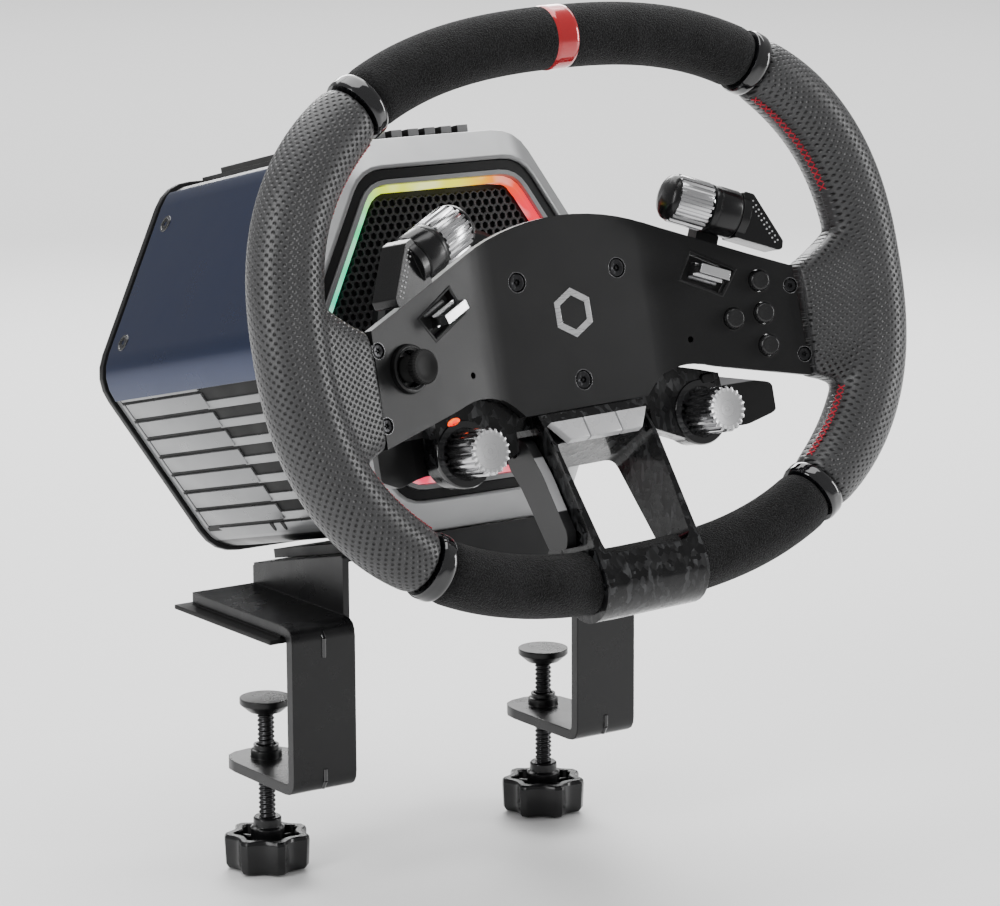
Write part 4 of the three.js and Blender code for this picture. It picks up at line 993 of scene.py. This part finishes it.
place(grille(), "grille_mesh", SHAFT, "base", "black_plastic", "mesh")
# a near-black sheet under the mesh: painted shade seen through its cells
field = frame_slab(hexagon(GRILLE_APOTHEM - 0.6, 0.0), hexagon(BOSS * 0.8, 0.0), GRILLE_Z - 0.2,
                   GRILLE_Z + 0.1)
place(field, "grille_floor", SHAFT, "base", "black_plastic", "recess")


SLAT_FOOT = -1.5
# the strips of one louvre: upper and lower edge, rear and front end, height
STRIPS = ((0.4, 8.0, -217.5, -152, -0.35), (4.6, 8.6, -154, -98, -0.6), (0.4, 8.9, -220.5, -218.4, -0.35))
PANEL_WELL = ((2.9, 0.06), (3.1, 0.3), (3.7, 0.3), (3.9, 0.02), (3.9, -0.4), (2.9, -0.4))


def slope(side, down, out, z):
    """A point on a lower slanted side: distance down from the middle corner, and out from the shell."""
    corner = Vector((side * 2 * BASE_APOTHEM / math.sqrt(3), 0.0, 0.0))
    along = Vector((-side * 0.5, -HALF_ROOT_3, 0.0))
    outward = Vector((side * HALF_ROOT_3, -0.5, 0.0))
    return corner + along * down + outward * out + Vector((0, 0, z))


def slope_slab(side, outline, low, high):
    """An outline of [distance down, z] raised between two heights off the slanted side."""
    bm = skinned([[slope(side, down, out, z) for down, z in outline] for out in (low, high)])
    bmesh.ops.bevel(bm, geom=list(bm.edges), offset=0.25, segments=2, profile=0.5, affect="EDGES")
    return bm


def slat(side, top, bottom, rear, front, high):
    """A rectangular slat between two distances down and two depths."""
    return slope_slab(side, [(top, rear), (bottom, rear), (bottom, front), (top, front)], SLAT_FOOT, high)


for name, side in SIDES:
    # a near-black sheet under the slats: painted shade in the gaps between them
    backing = slope_slab(side, [(11.5, -222), (11.5, -97), (84, -97), (84, -222)], -1.75, SLAT_FOOT)
    place(backing, name + "_louvre_backing", SHAFT, "base", "black_plastic", "recess")
    slats = []
    for i in range(VENT_COUNT):
        start = SLAT_START + SLAT_PITCH * i
        for top, bottom, rear, front, high in STRIPS:
            slats.append(slat(side, start + top, start + bottom, rear, front, high))
    slats.append(slat(side, 12.1, 13.4, -219, -152, -0.3))
    place(merge(*slats), name + "_louvres", SHAFT, "base", "shell", "louvre")
    lip = slope_slab(side, [(82.4, -212), (87.4, -203), (87.4, -98), (82.4, -98)], -1.6, -0.9)
    place(lip, name + "_lower_lip", SHAFT, "base", "shell", "louvre")
    # the notches are raised near-black arrows on the lip: painted shade standing for the recesses
    notches = []
    for z in (-166.0, -157.0):
        arrow = [(82.2, z - 1.5), (82.2, z + 1.5), (85.4, z + 1.1), (86.4, z), (85.4, z - 1.1)]
        notches.append(slope_slab(side, arrow, -0.95, -0.82))
    place(merge(*notches), name + "_lip_notches", SHAFT, "base", "black_plastic", "recess")

    # two star-drive screws near the rear edge of the blue panel
    outward = Vector((side * HALF_ROOT_3, 0.5, 0.0))
    turn = outward.to_track_quat("Z", "Y").to_matrix().to_4x4()
    heads, wells = [], []
    for x, y in PANEL_SCREWS:
        gap = BASE_APOTHEM - (x * HALF_ROOT_3 + y * 0.5)
        spot = Matrix.Translation(Vector((side * x, y, PANEL_SCREW_Z)) + outward * gap) @ turn
        heads.append(moved(socket_head(2.9, 1.4), spot @ shift(z=0.5)))
        wells.append(moved(lathe_ring(PANEL_WELL, 48), spot))
    place(merge(*heads), name + "_panel_screws", SHAFT, "base", "black_steel", "screw")
    place(merge(*wells), name + "_panel_screw_wells", SHAFT, "base", "gloss_black", "gloss")

# ------------------ desk clamps
LOBES, LOBE_DIP, LOBES_FROM = 7, 0.17, 12
THREAD_DEPTH, THREAD_SIDES = 0.75, 24
BEND_OUT, BEND_IN, DENT_RADIUS = 0.1, 2.3, 1.0


def lobed(angle, radius, z):
    """Scalloped outline of a star knob."""
    if radius < LOBES_FROM:
        return 1.0
    phase = (angle * LOBES / (2 * math.pi)) % 1.0
    dip = max(0.0, 1 - (abs(phase - 0.5) / 0.4) ** 2)
    return 1 - LOBE_DIP * dip


def star_knob():
    """The clamp's star knob: lobed body, hub and six ribs between them."""
    body = lathe([(0, -10.0), (13.2, -10.0), (13.8, -0.6), (14.5, 0), (17.4, 0), (18.2, -0.8), (18.4, -2.2),
                  (17.9, -13.0), (16.8, -14.6), (15.0, -15), (0, -15)], 210, lobed)
    hub_part = lathe([(3.95, 7.0), (5.4, 7.0), (6.0, 6.3), (6.0, 3.0), (7.2, 2.2), (7.2, -10.4),
                      (3.95, -10.4)], 48)
    ribs = []
    for i in range(6):
        angle = 2 * math.pi * i / 6
        inner, outer = ((r * math.cos(angle), r * math.sin(angle), z) for r, z in ((6, -3.2), (14.2, -3.6)))
        ribs.append(rod(inner, outer, 0.9, 12))
    return merge(body, hub_part, *ribs)


def threaded_rod(low, high, radius, pitch):
    """A rod with a real helical thread."""
    steps = int((high - low) / pitch * 8)
    rings = []
    for i in range(steps + 1):
        z = low + (high - low) * i / steps
        ring = []
        for j in range(THREAD_SIDES):
            phase = (z / pitch - j / THREAD_SIDES) % 1.0
            r = radius - THREAD_DEPTH * (1 - abs(2 * phase - 1))
            angle = 2 * math.pi * j / THREAD_SIDES
            ring.append((r * math.cos(angle), r * math.sin(angle), z))
        rings.append(ring)
    return skinned(rings)


for name, side in SIDES:
    axis = PART @ move(side * CLAMP_X, CLAMP_Y)
    refined(name + "_bracket", PART, "black_steel", "steel", 0.6)
    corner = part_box(name + "_bracket")[0]
    front, low = corner.y / MM, corner.z / MM
    dents = []
    for bend in (((BEND_OUT, low + 10), (BEND_OUT, low + 5), (BEND_IN, low + 1.6)),
                 ((BEND_OUT, -6), (BEND_OUT, 2), (BEND_IN, 5.4))):
        points = [(side * CLAMP_X, front + y, z) for y, z in bend]
        dents += [rod(start, end, DENT_RADIUS, 16) for start, end in zip(points, points[1:])]
    place(merge(*dents), name + "_bend_dents", PART, "base", "black_steel", "gloss")
    refined(name + "_foot_pad", PART, "rubber", "rubber", 0.5)
    refined(name + "_clamp_foot", axis, "black_steel", "steel", 0.3)
    place(star_knob(), name + "_star_knob", axis @ move(z=CLAMP_KNOB_Z), f"clamp_screw_{name}",
          "black_plastic", "knob", [name + "_clamp_knob"])
    place(threaded_rod(-104.0, -36.0, 3.7, 2.0), name + "_thread", axis, f"clamp_screw_{name}",
          "black_steel", "thread", [name + "_clamp_screw"])

# ------------------ inner nodes keep their CAD shape
for node, look in (("motor_stator", "copper"), ("front_bearing", "bearing"), ("rear_bearing", "bearing"),
                   ("control_board", "board"), ("rotor_shaft", "aluminium")):
    shown = frame["nodes"][node]
    shown.data.materials.clear()
    shown.data.materials.append(looks[look])

# ------------------ floor, light and camera
FLOOR_HALF, FLOOR_GAP = 6.0, 0.0005
floor_z = cad_box[0].z - FLOOR_GAP
floor_corners = [(x * FLOOR_HALF, y * FLOOR_HALF, floor_z) for x, y in ((-1, -1), (1, -1), (1, 1), (-1, 1))]
floor_mesh = bpy.data.meshes.new("floor")
floor_mesh.from_pydata(floor_corners, [], [(0, 1, 2, 3)])
floor = new_object("floor", floor_mesh)
floor_mesh.materials.append(plain("pale_floor", (0.84, 0.84, 0.84), 0.55, edge=0.0))

world = bpy.data.worlds.new("studio")
world.use_nodes = True
background = world.node_tree.nodes["Background"]
background.inputs["Color"].default_value = (1.0, 1.0, 1.0, 1.0)
background.inputs["Strength"].default_value = 0.42
bpy.context.scene.world = world


def soft_light(name, place_at, aim, size, power):
    """A rectangular area light, placed and aimed in metres."""
    light = bpy.data.lights.new(name, "AREA")
    light.shape = "RECTANGLE"
    light.size, light.size_y = size
    light.energy = power
    lamp = new_object(name, light)
    lamp.location = place_at
    lamp.rotation_mode = "QUATERNION"
    lamp.rotation_quaternion = (Vector(aim) - Vector(place_at)).to_track_quat("-Z", "Y")


soft_light("overhead", (0.1, 0.3, 1.7), (0, 0, 0.1), (1.6, 1.6), 34)
soft_light("key", (-1.4, -0.2, 0.7), (0, 0, 0.1), (0.45, 1.1), 14)
soft_light("wing_side", (1.5, -0.85, 0.4), (0, -0.1, 0.14), (0.35, 0.9), 13)
soft_light("rim", (0.8, 1.3, 0.8), (0, -0.1, 0.15), (1.0, 0.5), 16)
soft_light("backdrop", (1.7, 2.9, 2.4), (2.0, 3.4, -0.1), (4.5, 4.0), 190)

CAMERA_AT = Vector((-0.8649, -1.311, 0.3805))
CAMERA_YAW, CAMERA_PITCH, CAMERA_ROLL = (math.radians(v) for v in (34.74, 11.39, -0.26))
camera_data = bpy.data.cameras.new("camera")
camera_data.lens = 135.6
camera_data.sensor_width = 36.0
camera_data.clip_start, camera_data.clip_end = 0.05, 50.0
camera = new_object("camera", camera_data)
level = math.cos(CAMERA_PITCH)
looking = Vector((math.sin(CAMERA_YAW) * level, math.cos(CAMERA_YAW) * level, -math.sin(CAMERA_PITCH)))
camera.matrix_world = (Matrix.Translation(CAMERA_AT) @ looking.to_track_quat("-Z", "Y").to_matrix().to_4x4()
                       @ Matrix.Rotation(CAMERA_ROLL, 4, "Z"))
bpy.context.scene.camera = camera
